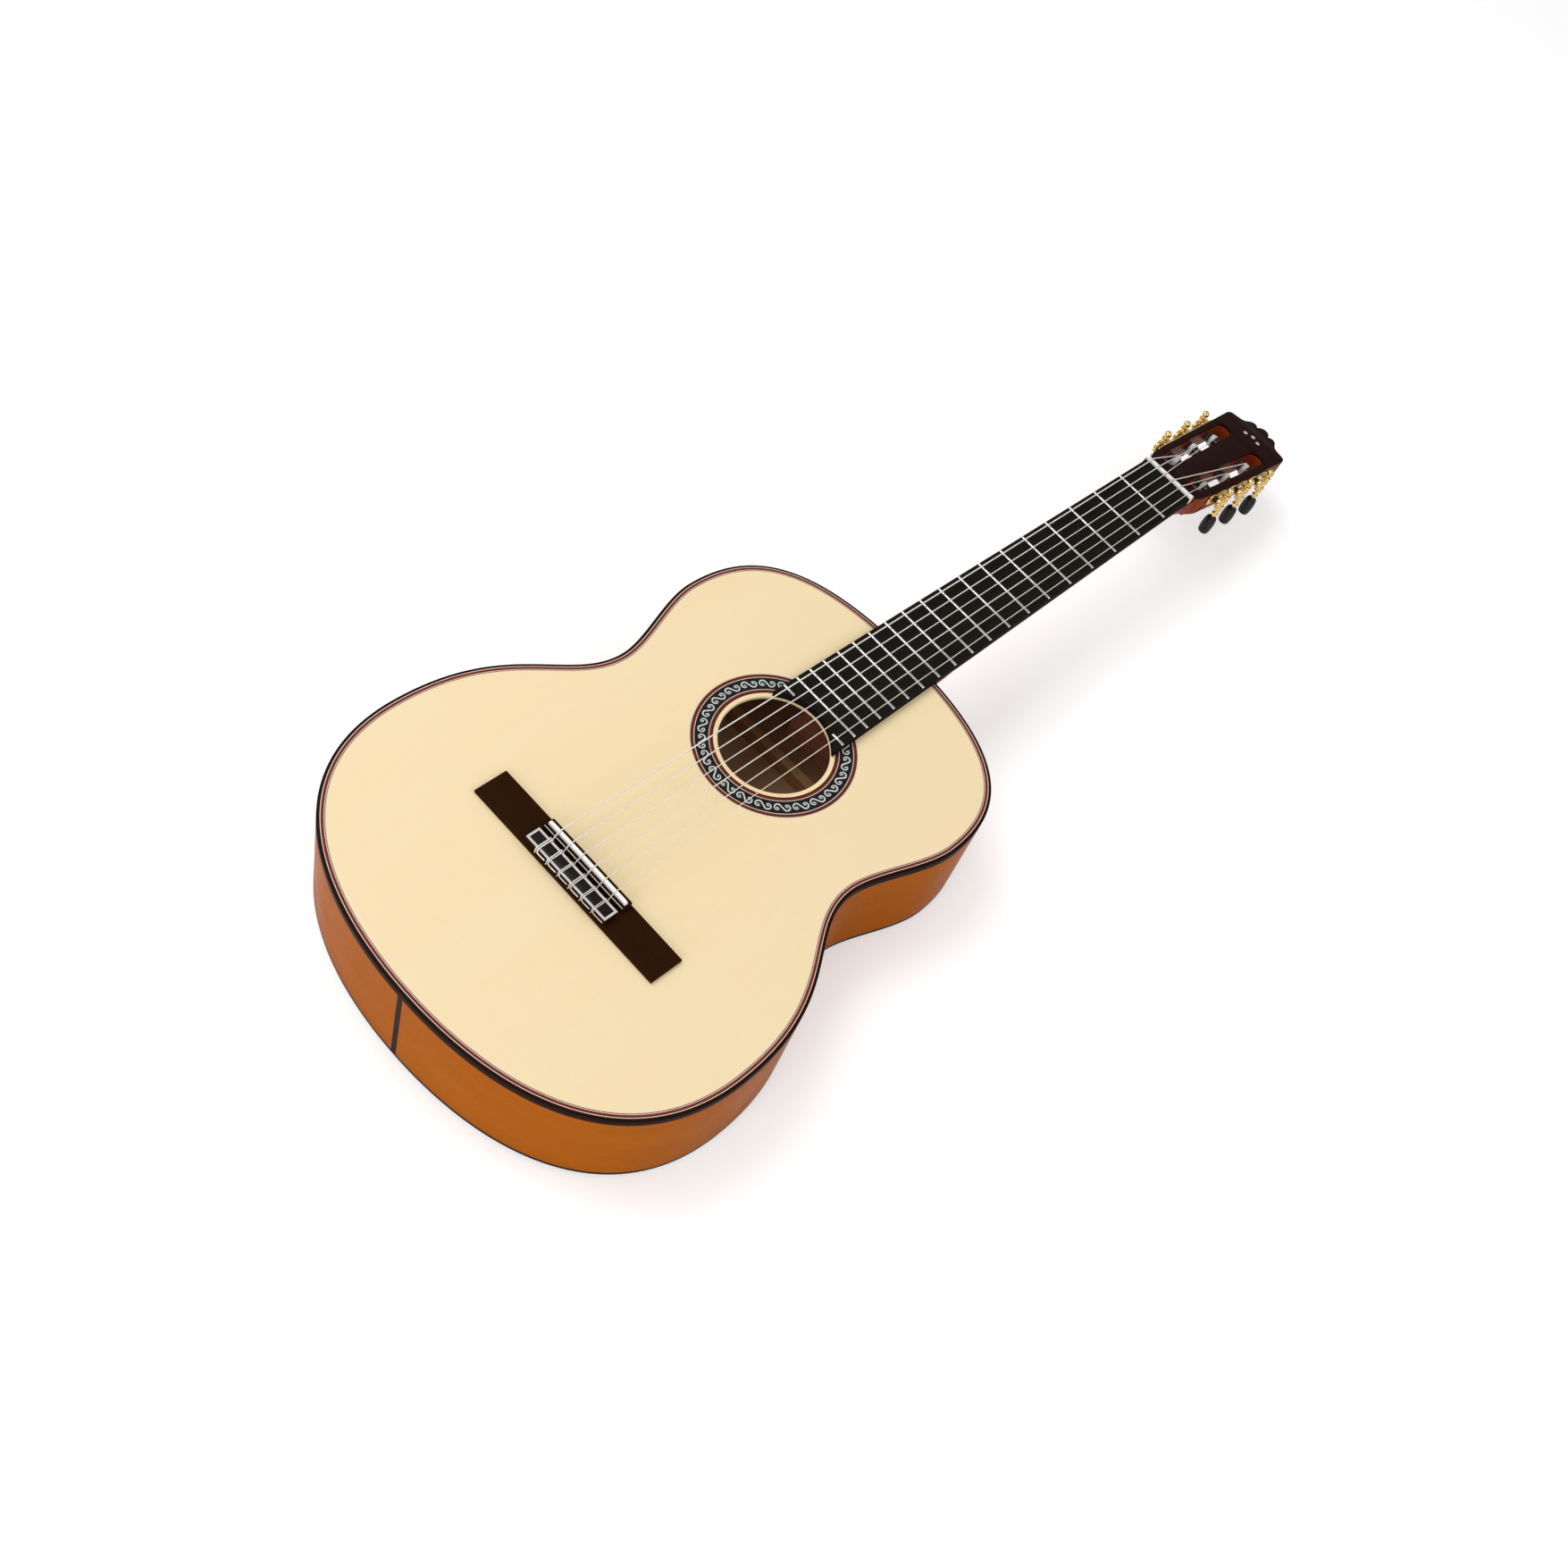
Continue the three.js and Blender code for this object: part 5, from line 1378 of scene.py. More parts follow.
def heel_cap_piece():
    """The cap under the heel: half ellipses stacked up, with the lowest ones drawn in."""
    sizes = look("guitar_neck")
    cap_half, cap_length = mm(sizes.heel_width), mm(sizes.heel_length)
    turn = np.linspace(0, math.pi, 40)
    rings = []
    for z, grow in ((0.02, -0.8), (0.3, -0.1), (0.8, 0.05), (2.2, 0.05)):
        x = (cap_half + grow) * np.cos(turn)
        y = JOIN_Y + JOINT_GAP + (cap_length + grow) * np.sin(turn)
        rings.append(np.column_stack([x, y, np.full(len(turn), z)]))
    return surface(np.array(rings), wrap_columns=True, cap_rows=True)


def fret_place(fret):
    """How far up a fret lies: each fret leaves the twelfth root of a half of the string."""
    return NUT_Y - SCALE_LENGTH * (1 - 2 ** (-fret / 12))


def board_end(x):
    """Where the fingerboard ends: the curve of the soundhole, cut into its last stretch."""
    bite = mm(look("guitar_body").hole_radius) + 0.2
    curve = HOLE_Y + np.sqrt(np.clip(bite ** 2 - x ** 2, 0, None))
    return np.maximum(curve, BOARD_LOW[1])


def fingerboard_piece(high):
    """The fingerboard, with its upper face at a height.

    A point's distance from the nut is a share of the way to the end curve, its place across
    widens with that distance, and the upper face falls off with the square at its two edges.
    """
    across = np.linspace(-1, 1, 41)
    edge_fall = 0.35 * np.clip((np.abs(across) - 0.95) / 0.05, 0, 1) ** 2
    share = np.linspace(0, 1, 30)[:, None]
    ends = board_end(across * neck_half_width(BOARD_LOW[1]))
    y = NUT_Y + (ends - NUT_Y)[None] * share
    x = across[None] * neck_half_width(y)
    upper = np.stack([x, y, np.broadcast_to(high - edge_fall, x.shape)], axis=-1)
    lower = np.stack([x, y, np.full(x.shape, TOP)], axis=-1)
    return slab(upper, lower)


class GUITAR_OT_fingerboard(bpy.types.Operator):
    """Build the ebony fingerboard and its nineteen frets"""

    bl_idname = "guitar.fingerboard"
    bl_label = "Fingerboard and frets"

    def execute(self, context):
        sizes = look("guitar_neck")
        high = NUT_LOW[2] + FINGERBOARD_THICKNESS
        add_piece("ebony_fingerboard", [fingerboard_piece(high)], ebony(), "ebony",
                  replaces=["fingerboard"], sharp=30)
        parts = []
        for fret in range(1, FRET_COUNT + 1):
            parts += fret_bars(fret, high, mm(sizes.fret_width), mm(sizes.fret_height))
        add_piece("frets", parts, nickel(), "silver", sharp=60)
        return {"FINISHED"}


def fret_bars(fret, level, width, height):
    """One fret as a half-round bar, or the two ends of it where the soundhole cuts it short."""
    y = fret_place(fret)
    half = neck_half_width(y) - 0.25
    x = np.linspace(-half, half, 241)
    kept = board_end(x) < y - width / 2
    if kept.all():
        spans = [(-half, half)]
    else:
        inner = np.abs(x[kept]).min()
        spans = [(-half, -inner), (inner, half)]
    turn = np.linspace(0, math.pi, 9)
    profile = np.column_stack([width / 2 * np.cos(turn), height * np.sin(turn)])
    profile = np.vstack([profile, [(-width / 2, -0.4), (width / 2, -0.4)]])
    above = profile[:, 1] > 0
    slope = 0.9
    bars = []
    for start, end in spans:
        rings = []
        for x_now, tall in ((start, 0.1), (start + slope * 0.4, 0.75), (start + slope, 1.0),
                            (end - slope, 1.0), (end - slope * 0.4, 0.75), (end, 0.1)):
            z = level + profile[:, 1] * np.where(above, tall, 1.0)
            rings.append(np.column_stack([np.full(len(profile), x_now), y + profile[:, 0], z]))
        bars.append(surface(np.array(rings), wrap_columns=True, cap_rows=True))
    return bars


def string_x(number, spread):
    """Sideways place of a string: 1 is the treble string, 6 the bass."""
    return ((STRING_COUNT - number) / (STRING_COUNT - 1) - 0.5) * spread


STRING_DIAMETERS = {6: 1.1, 5: 0.92, 4: 0.76, 3: 1.02, 2: 0.82, 1: 0.72}
SPREAD_AT_NUT, SPREAD_AT_SADDLE = 43.4, 58.0


def nut_piece():
    """The nut: its top falls towards the head with a power of the distance, less the grooves.

    Each groove is half an ellipse in the distance from its string.
    """
    x = np.linspace(NUT_LOW[0], NUT_HIGH[0], 241)
    groove = np.zeros_like(x)
    for number, diameter in STRING_DIAMETERS.items():
        near = (x - string_x(number, SPREAD_AT_NUT)) / (diameter * 0.62)
        groove = np.maximum(groove, 0.45 * np.sqrt(np.clip(1 - near ** 2, 0, 1)))
    share = np.linspace(0, 1, 9)[:, None]
    crown, fall = 0.35, 1.9 * share ** 2.2
    y = NUT_LOW[1] + share * (NUT_HIGH[1] - NUT_LOW[1])
    upper = np.stack(np.broadcast_arrays(x[None], y, NUT_HIGH[2] + crown - fall - groove), axis=-1)
    lower = upper * [1, 1, 0] + [0, 0, NUT_LOW[2]]
    return slab(upper, lower)


def saddle_piece():
    """The saddle: half an ellipse across its thickness, falling off with the square at its ends."""
    x = np.linspace(SADDLE_LOW[0], SADDLE_HIGH[0], 121)
    turn = np.linspace(0, math.pi, 9)[:, None]
    half_depth = (SADDLE_HIGH[1] - SADDLE_LOW[1]) / 2
    crown, end_length = 1.0, 2.5
    end_fall = 1.1 * np.clip((np.abs(x) - SADDLE_HIGH[0] + end_length) / end_length, 0, 1) ** 2
    y = SADDLE_Y + half_depth * np.cos(turn)
    z = SADDLE_HIGH[2] - crown + crown * np.sin(turn) - end_fall
    upper = np.stack(np.broadcast_arrays(x[None], y, z), axis=-1)
    lower = upper * [1, 1, 0] + [0, 0, SADDLE_LOW[2]]
    return slab(upper, lower)


class GUITAR_OT_nut_and_saddle(bpy.types.Operator):
    """Build the bone nut with its string slots and the bone saddle"""

    bl_idname = "guitar.nut_and_saddle"
    bl_label = "Nut and saddle"

    def execute(self, context):
        add_piece("bone_nut", [nut_piece()], bone(), "bone", replaces=["nut"], sharp=50)
        add_piece("bone_saddle", [saddle_piece()], bone(), "bone", replaces=["saddle"], sharp=50)
        return {"FINISHED"}


# ---------------------------------------------------------------- bridge

WING_HEIGHT, CENTRE_HALF = 3.6, 41.0
SADDLE_BLOCK_HEIGHT, TIE_BLOCK_HEIGHT, TIE_HOLE_HEIGHT = 8.6, 9.6, 6.0
SADDLE_Y = (SADDLE_LOW[1] + SADDLE_HIGH[1]) / 2
SADDLE_BLOCK = (SADDLE_Y - 4.75, SADDLE_Y + 4.75)
TIE_BLOCK = (BRIDGE_LOW[1] + 1.5, BRIDGE_LOW[1] + 13.9)


def wings_piece(rounding):
    """The bridge's plate from wing tip to wing tip.

    Its top rises as a quarter circle of the distance from the nearest edge, and from the wing
    tips it climbs evenly to the centre.
    """
    reach, back, front = BRIDGE_HIGH[0], BRIDGE_LOW[1], BRIDGE_HIGH[1]
    along, across = (np.sin(np.linspace(-1, 1, count) * math.pi / 2) for count in (81, 25))
    x, y = np.broadcast_arrays(
        reach * along[None], (front + back) / 2 + (front - back) / 2 * across[:, None])
    to_edge = np.minimum(reach - np.abs(x), np.minimum(front - y, y - back))
    lift = np.sqrt(np.clip(1 - (1 - np.clip(to_edge / rounding, 0, 1)) ** 2, 0, 1))
    arch = 0.5 * np.clip(1 - (np.abs(x) - CENTRE_HALF) / (reach - CENTRE_HALF), 0, 1)
    upper = np.stack([x, y, TOP + WING_HEIGHT - rounding + (rounding + arch) * lift], axis=-1)
    lower = upper * [1, 1, 0] + [0, 0, TOP]
    return slab(upper, lower)


class GUITAR_OT_bridge(bpy.types.Operator):
    """Build the bridge: wings, saddle block, channel and inlaid tie block"""

    bl_idname = "guitar.bridge"
    bl_label = "Bridge"

    def execute(self, context):
        sizes = look("guitar_bridge")
        half = CENTRE_HALF
        slot = (SADDLE_Y - 1.5, SADDLE_Y + 1.5)
        low, top = TOP + 1, TOP + SADDLE_BLOCK_HEIGHT
        parts = [
            wings_piece(mm(sizes.wing_rounding)),
            rounded_box((-half, slot[1], low), (half, SADDLE_BLOCK[1], top), 0.5),
            rounded_box((-half, SADDLE_BLOCK[0], low), (half, slot[0], top), 0.4),
            rounded_box((-half, slot[0] - 0.5, low), (-half + 1.2, slot[1] + 0.5, top), 0.3),
            rounded_box((half - 1.2, slot[0] - 0.5, low), (half, slot[1] + 0.5, top), 0.3),
            rounded_box((-half, TIE_BLOCK[0], low), (half, TIE_BLOCK[1], TOP + TIE_BLOCK_HEIGHT), 0.35),
        ]
        add_piece("rosewood_bridge", parts, rosewood(), "rosewood", replaces=["bridge"], sharp=35)
        border = material(
            "bridge_border", polished, sizes.border, roughness=0.25, variation=0.15, scale=300.0)
        wide, level = mm(sizes.inlay_width), TOP + TIE_BLOCK_HEIGHT
        y0, y1 = TIE_BLOCK[0] + 0.25, TIE_BLOCK[1] - 0.25
        strips = [
            ((-half + 0.3, y0), (half - 0.3, y0 + wide)), ((-half + 0.3, y1 - wide), (half - 0.3, y1)),
            ((-half + 0.3, y0 + wide), (-half + 0.3 + wide, y1 - wide)),
            ((half - 0.3 - wide, y0 + wide), (half - 0.3, y1 - wide)),
        ]
        parts = [
            rounded_box((*start, level - 0.6), (*end, level + 0.12), 0.15) for start, end in strips
        ]
        # A pale strip along the saddle block's back edge, in the border's colour: a painted highlight where
        # that edge catches the light.
        line, line_width = SADDLE_BLOCK[0] + 0.35, 0.6
        parts.append(rounded_box(
            (-half + 0.6, line, top - 0.5), (half - 0.6, line + line_width, top + 0.1), 0.1))
        add_piece("tie_block_border_and_edge_highlight", parts, border, "bone")
        ground = material(
            "tie_block_ground", polished, (0.012, 0.008, 0.006), roughness=0.3, specular=0.15)
        panel = rounded_box(
            (-half + wide, y0 + wide - 0.2, level - 0.3),
            (half - wide, y1 - wide + 0.2, level + 0.04), 0.03)
        add_piece("tie_block_ground", [panel], ground, "rosewood")
        return {"FINISHED"}


# ---------------------------------------------------------------- strings

def roller_spot(number):
    """Where a string lands on top of its roller, with the axis it winds about."""
    joint = joint_named(f"roller_turn_{number}")
    centre = np.array(joint["pos_m"]) / MM
    axis = np.array(joint["axis"])
    side = 1 if number <= 3 else -1
    outwards_axis = axis * (1 if axis[0] * side > 0 else -1)
    return centre, outwards_axis, side


def joint_named(name):
    """A joint of the CAD frame, with its place and axis."""
    return next(joint for joint in frame["joints"] if joint["name"] == name)


GEAR_OFFSET = 6.6
ROLLER_RADIUS = 4.75
ROLLER_GAP, TURN_GAP = 0.1, 0.08
LANDING_INSETS = (12.4, 14.0, 15.5)


def string_piece(number):
    """The string from its loop on the tie block to the top of its roller.

    A tube along smooth curves over the saddle and the nut, with a straight stretch between.
    """
    sizes = look("guitar_strings")
    radius = STRING_DIAMETERS[number] / 2
    lift = radius + mm(sizes.clearance)
    at_saddle, at_nut = string_x(number, SPREAD_AT_SADDLE), string_x(number, SPREAD_AT_NUT)
    hole = TOP + TIE_HOLE_HEIGHT
    saddle_top, nut_top = SADDLE_HIGH[2] + lift, NUT_HIGH[2] + lift
    landing, _ = landing_of(number, radius)
    straight = np.linspace(0, 1, 90)[:, None]
    over_saddle = np.array([at_saddle, SADDLE_Y + 1.0, saddle_top])
    over_nut = np.array([at_nut, NUT_LOW[1] + 0.5, nut_top])
    before = smooth_path([
        (at_saddle, TIE_BLOCK[0] - 1.6, hole), (at_saddle, TIE_BLOCK[1] + 0.6, hole),
        (at_saddle, TIE_BLOCK[1] + 1.6, hole + 0.6),
        (at_saddle, SADDLE_LOW[1] - 0.5, saddle_top - 0.7),
        (at_saddle, SADDLE_Y, saddle_top - 0.02), over_saddle,
    ], 0.5)
    after = smooth_path([
        over_nut, (at_nut, NUT_LOW[1] + 3.5, nut_top - 0.15),
        (at_nut + (landing[0] - at_nut) * 0.06, NUT_HIGH[1] + 1.5, nut_top - 1.2), landing,
    ], 1.5)
    middle = over_saddle + (over_nut - over_saddle) * straight
    return tube(np.vstack([before[:-1], middle[:-1], after]), radius, 12)


def landing_of(number, radius):
    """The point where a string meets its roller's top, and the point below it on the axis."""
    centre, axis, side = roller_spot(number)
    order = number - 1 if side > 0 else 6 - number
    normal = np.array([0, math.sin(HEAD_TILT), math.cos(HEAD_TILT)])
    start = centre - axis * (GEAR_OFFSET + LANDING_INSETS[order])
    return start + normal * (ROLLER_RADIUS + radius + ROLLER_GAP), start


def loop_piece(number):
    """The string's end: out of the tie block's back, over its top, round itself and back.

    The loop leaves the hole behind the block, climbs over the block beside the string, passes
    under the string in front, returns over the block and is tucked down at the back edge.
    """
    radius = STRING_DIAMETERS[number] / 2
    x = string_x(number, SPREAD_AT_SADDLE)
    back, front = TIE_BLOCK[0] - radius - 0.1, TIE_BLOCK[1] + radius + 0.1
    hole, over = TOP + TIE_HOLE_HEIGHT, TOP + TIE_BLOCK_HEIGHT + radius + 0.25
    step = 2 * radius + 0.35
    tail = 9.5 if number > 1 else 11.0
    spots = [
        (x, TIE_BLOCK[0] + 1, hole), (x, back - 0.3, hole + 0.3), (x - 0.1, back + 0.1, over - 1.2),
        (x - 0.15, back + 1.1, over), (x - 0.2, (back + front) / 2, over + 0.05),
        (x - 0.3, front - 1.2, over), (x - step * 0.7, front + 0.1, over - 1.4),
        (x - step * 0.6, front + 0.7, hole + 0.6), (x + 0.1, front + 1.0, hole - radius * 2 - 0.1),
        (x + step * 0.9, front + 0.6, hole + 0.4), (x + step * 1.0, front + 0.1, over - 1.2),
        (x + step * 0.95, front - 1.2, over), (x + step * 0.95, (back + front) / 2, over + 0.05),
        (x + step * 1.0, back + 1.2, over), (x + step * 1.1, back + 0.05, over - 1.4),
        (x + step * 1.6, back - 0.5, over - 2.6), (x + step + 3, back - 0.45, over - 3.2),
        (x + tail, back - 0.35, over - 3.0),
    ]
    return tube(smooth_path(spots, 0.45), radius, 10)


def wrap_piece(number):
    """The turns of string on a roller: a helix about the roller's axis, from its landing."""
    sizes = look("guitar_strings")
    radius = STRING_DIAMETERS[number] / 2
    landing, start = landing_of(number, radius)
    _, axis, side = roller_spot(number)
    up = (landing - start) / np.linalg.norm(landing - start)
    ahead = np.cross(up, axis * side)
    reach = ROLLER_RADIUS + radius + ROLLER_GAP
    away = -1 if number in (1, 6) else 1
    travel = away * sizes.wraps * (2 * radius + TURN_GAP)
    local = helix(reach, 0, travel, sizes.wraps, 28)
    path = start + local[:, :1] * up + local[:, 1:2] * ahead + local[:, 2:] * axis
    return tube(path, radius, 10)


class GUITAR_OT_strings(bpy.types.Operator):
    """Build the six strings with their loops and windings"""

    bl_idname = "guitar.strings"
    bl_label = "Strings"

    def execute(self, context):
        sizes = look("guitar_strings")
        wound = material("wound_silver", wound_wire, sizes.silver)
        plain = material("clear_nylon", clear_line, sizes.nylon)
        for number in range(1, STRING_COUNT + 1):
            finish, slot = (wound, "silver") if number >= 4 else (plain, "nylon")
            run = [string_piece(number), loop_piece(number)]
            add_piece(f"string_run_{number}", run, finish, slot, replaces=[f"string_{number}"], sharp=60)
            add_piece(f"string_wraps_{number}", [wrap_piece(number)], finish, slot,
                      body=f"roller_{number}", sharp=60)
        return {"FINISHED"}


# ---------------------------------------------------------------- tuning machines

def machine_matrix(number):
    """A machine's frame in millimetres, centred on the worm gear.

    X runs out from the head's side, Y to the crown and Z out of the face. The bass side is the
    mirror of the treble side.
    """
    centre, axis, side = roller_spot(number)
    up = np.array(joint_named(f"button_turn_{number}")["axis"])
    ahead = np.cross(up, axis) * side
    matrix = np.eye(4)
    matrix[:3, 0], matrix[:3, 1], matrix[:3, 2], matrix[:3, 3] = axis, ahead, up, centre
    return matrix


LIE_ALONG_X = np.array([[0, 0, 1, 0], [1, 0, 0, 0], [0, 1, 0, 0], [0, 0, 0, 1]], float)
WORM_DISTANCE = 7.7
WORM_STAND = (0, WORM_DISTANCE, 0)
ROLLER_SPACING = 35
GEAR_TEETH, GEAR_OUTER, GEAR_ROOT, GEAR_WIDTH = 14, 5.6, 4.5, 3.0
EAR_OFFSET, EAR_THICKNESS = 5.6, 2.0
BUTTON_TOP = -18.0
PLATE_START, PLATE_END = -14, 91
PLATE_HALF_THICKNESS, PLATE_FROM_GEAR = 0.75, 5.55


def roller_parts():
    """The roller, turned: pins at the ends, and a drum with a waist where the string winds."""
    gap, rim = 0.3, ROLLER_RADIUS
    outer = -(GEAR_OFFSET + SLOT_WALL) - gap
    inner = outer - SLOT_WIDTH + 2 * gap
    profile = [
        (0, inner - 5), (2.2, inner - 5), (2.4, inner - 4.7), (2.4, inner), (4.4, inner),
        (rim, inner + 0.4), (rim, inner + 1.2), (4.55, inner + 1.8), (4.55, outer - 1.8),
        (rim, outer - 1.2), (rim, outer - 0.4), (4.4, outer), (3.0, outer), (3.0, -1.7),
        (2.0, -1.6), (2.0, 2.0), (0, 2.0),
    ]
    return moved(turned(profile, 36), LIE_ALONG_X)


def gear_parts():
    """The worm gear: each tooth's flank is a step between root and tip radius, softened."""
    angle = np.linspace(0, 2 * math.pi, GEAR_TEETH * 12, endpoint=False)
    wave = np.cos(angle * GEAR_TEETH)
    lift = np.clip(0.5 + 0.95 * wave, 0, 1)
    radius = GEAR_ROOT + (GEAR_OUTER - GEAR_ROOT) * lift
    face, bevel, dish = GEAR_WIDTH / 2, 0.3, 0.25
    rings = []
    for height, scale in (
        (-face, 0.0), (-face, 0.96), (bevel - face, 1.0), (face - bevel, 1.0), (face, 0.96),
        (face, 0.62), (face - dish, 0.58), (face - dish, 0.0),
    ):
        x, y = radius * scale * np.cos(angle), radius * scale * np.sin(angle)
        rings.append(np.column_stack([x, y, np.full(len(angle), height)]))
    return moved(surface(np.array(rings), wrap_columns=True), LIE_ALONG_X)


def gear_screw_parts():
    """The screw that holds the gear on: a turned dome."""
    dome = [(0, 1.3), (0, 2.75), (0.8, 2.7), (1.6, 2.45), (2.1, 2.0), (2.25, 1.6), (2.25, 1.3)]
    return moved(turned(dome, 28), LIE_ALONG_X)


def worm_parts():
    """A worm standing at its place: a turned spindle with beads and a ball, and a helix thread."""
    profile = [
        (0, -23.0), (1.6, -23.0), (1.6, -15.2), (2.5, -15.1), (3.1, -14.7), (3.2, -14.0), (2.9, -13.3),
        (2.0, -12.9), (1.6, -12.3), (1.7, -11.2), (2.4, -10.6), (3.0, -9.9), (3.1, -9.1), (2.7, -8.3),
        (1.9, -7.9), (2.9, -7.5), (3.1, -7.2), (2.9, -6.9), (1.6, -6.9), (1.6, -4.3), (1.8, -4.3),
        (1.8, 4.3), (1.6, 4.3), (1.6, 6.9), (2.5, 7.0), (2.6, 7.4), (1.7, 7.8), (1.5, 8.2),
    ]
    ball_radius, ball_height = 3.3, 10.9
    ball = [
        (ball_radius * math.sin(turn), ball_height - ball_radius * math.cos(turn))
        for turn in np.linspace(0.5, math.pi, 12)
    ]
    ball[-1] = (0, ball[-1][1])
    spindle = turned(profile + ball, 32)
    thread = helix(2.2, -2.9, 2.9, 2.5, 32)
    order = np.arange(len(thread))
    fade = np.clip(np.minimum(order, order[::-1]) / 10, 0.3, 1)
    return [moved(part, place(*WORM_STAND)) for part in (spindle, tube(thread, 0.68 * fade, 8))]


def button_parts():
    """A barrel button: eight soft flats round a swelling profile, with a socket for the spindle."""
    sizes = look("guitar_machines")
    top, long, wide = BUTTON_TOP, mm(sizes.button_length), mm(sizes.button_radius)
    share = np.array([0, 0.01, 0.035, 0.1, 0.22, 0.4, 0.6, 0.8, 0.92, 0.975, 1.0, 1.0])
    size = np.array([0.42, 0.62, 0.74, 0.86, 0.95, 1.0, 1.0, 0.95, 0.88, 0.8, 0.66, 0.0])
    angle = np.linspace(0, 2 * math.pi, 64, endpoint=False)
    flats = 1 - 0.035 * np.cos(8 * angle) ** 2
    softened = np.where((share > 0.05) & (share < 0.95), 1.0, 0.99)
    radius = wide * (size * softened)[:, None] * flats
    height = top - long * share[:, None] + 0 * angle
    rings = np.stack([radius * np.cos(angle), radius * np.sin(angle), height], axis=-1)
    bore, bore_depth = 1.7, 8.2
    mouth = np.column_stack([bore * np.cos(angle), bore * np.sin(angle), np.full(64, top)])
    floor = mouth - [0, 0, bore_depth]
    grid = np.concatenate([(floor * [0, 0, 1])[None], floor[None], mouth[None], rings])
    return moved(surface(grid, wrap_columns=True), place(*WORM_STAND))


def plate_outline():
    """A side plate's edge: cosine waves with a lobe under each worm, and rounded ends."""
    half = mm(look("guitar_machines").plate_depth) / 2
    y = np.linspace(PLATE_START, PLATE_END, 211)
    beat = (y - WORM_DISTANCE) / ROLLER_SPACING * 2 * math.pi
    lower = -half + 1.6 - 1.6 * np.cos(beat)
    upper = half - 0.5 + 0.5 * np.cos(2 * beat)
    ends = np.clip(np.minimum(y - PLATE_START, PLATE_END - y) / 7, 0, 1)
    taper = np.maximum(np.sqrt(1 - (1 - ends) ** 2), 0.12)
    return np.vstack([np.column_stack([y, lower * taper]), np.column_stack([y, upper * taper])[::-1]])


def ear_parts():
    """The two bearing ears of a worm: blocks with a rounded outer end and a bore through."""
    reach, bore_radius, foot = 3.2, 1.85, -GEAR_OFFSET + 1.0
    turn = np.linspace(-math.pi / 2, math.pi / 2, 12)
    arc = np.column_stack([reach * np.cos(turn), reach * np.sin(turn)])
    outer = np.vstack([[(foot, -reach)], arc, [(foot, reach)]])
    bore_turn = np.arctan2(outer[:, 1], outer[:, 0] + 1e-9)
    bore = bore_radius * np.column_stack([np.cos(bore_turn), np.sin(bore_turn)])
    parts = []
    for middle in (-EAR_OFFSET, EAR_OFFSET):
        low, high = middle - EAR_THICKNESS / 2, middle + EAR_THICKNESS / 2
        loops = [(outer, low), (outer, high), (bore, high), (bore, low)]
        grid = np.stack([np.column_stack([loop, np.full(len(loop), z)]) for loop, z in loops], axis=1)
        ear = surface(grid, wrap_rows=True, wrap_columns=True)
        parts.append(moved(ear, place(*WORM_STAND)))
    return parts


def screw_parts(y, z):
    """A plate screw: a turned low dome."""
    dome = [(0, -0.4), (0, 0.75), (0.7, 0.7), (1.3, 0.5), (1.65, 0.2), (1.7, -0.4)]
    return moved(moved(turned(dome, 24), LIE_ALONG_X), place(-4.6, y, z))


class GUITAR_OT_machines(bpy.types.Operator):
    """Build the six tuning machines on their two side plates"""

    bl_idname = "guitar.machines"
    bl_label = "Tuning machines"

    def execute(self, context):
        sizes = look("guitar_machines")
        black = material("roller_black", polished, sizes.roller, roughness=0.15, specular=0.5)
        button = material(
            "button_black", polished, sizes.button, roughness=0.25, specular=0.4, variation=0.4)
        pieces = (
            ("roller_drum", [roller_parts()], black, "roller_plastic", "roller", "string_roller", 40),
            ("gear_wheel", [gear_parts(), gear_screw_parts()], gold(), "gold", "roller", "worm_gear", 35),
            ("worm", worm_parts(), gold(), "gold", "button", "worm_shaft", 40),
            ("button_barrel", [button_parts()], button, "button_ebony", "button", "tuner_button", 50),
        )
        for number in range(1, STRING_COUNT + 1):
            matrix = machine_matrix(number)
            for name, parts, finish, slot, body, node, sharp in pieces:
                carried = [moved(part, matrix) for part in parts]
                add_piece(f"{name}_{number}", carried, finish, slot, body=f"{body}_{number}",
                          replaces=[f"{node}_{number}"], sharp=sharp)
        for word, first in (("treble", 1), ("bass", 6)):
            self.plate(word, machine_matrix(first))
        return {"FINISHED"}

    def plate(self, word, matrix):
        """One side plate with its ears and screws; its flat blank stands on edge on the head."""
        stand = matrix @ place(-PLATE_FROM_GEAR, 0, 0) @ LIE_ALONG_X
        blank = plate_with_holes(
            f"plate_blank_{word}", [plate_outline()], -PLATE_HALF_THICKNESS, PLATE_HALF_THICKNESS, 0.3,
            stand)
        finish_piece(f"plate_blank_{word}", blank, gold(), "gold", ROOT, [f"tuner_plate_{word}"], 35)
        parts = []
        for order in range(STRING_COUNT // 2):
            shift = place(0, ROLLER_SPACING * order, 0)
            parts += [moved(part, matrix @ shift) for part in ear_parts()]
        between = [WORM_DISTANCE + ROLLER_SPACING * (order + 0.5) for order in range(2)]
        for y in (PLATE_START + 2.5, *between, PLATE_END - 2.5):
            parts.append(moved(screw_parts(y, 0.0), matrix))
        add_piece(f"plate_ears_{word}", parts, gold(), "gold", sharp=35)


# ---------------------------------------------------------------- stage

CAMERA_PLACE = Vector((0.3974, -0.6332, 1.1939))
CAMERA_RIGHT = Vector((0.67583741, 0.69438296, 0.2471358)).normalized()
CAMERA_DOWN = Vector((0.70860672, -0.51989084, -0.47706398))
FLOOR_REACH, FLOOR_GLOW, WORLD_LIGHT = 6.0, 0.3, 0.45


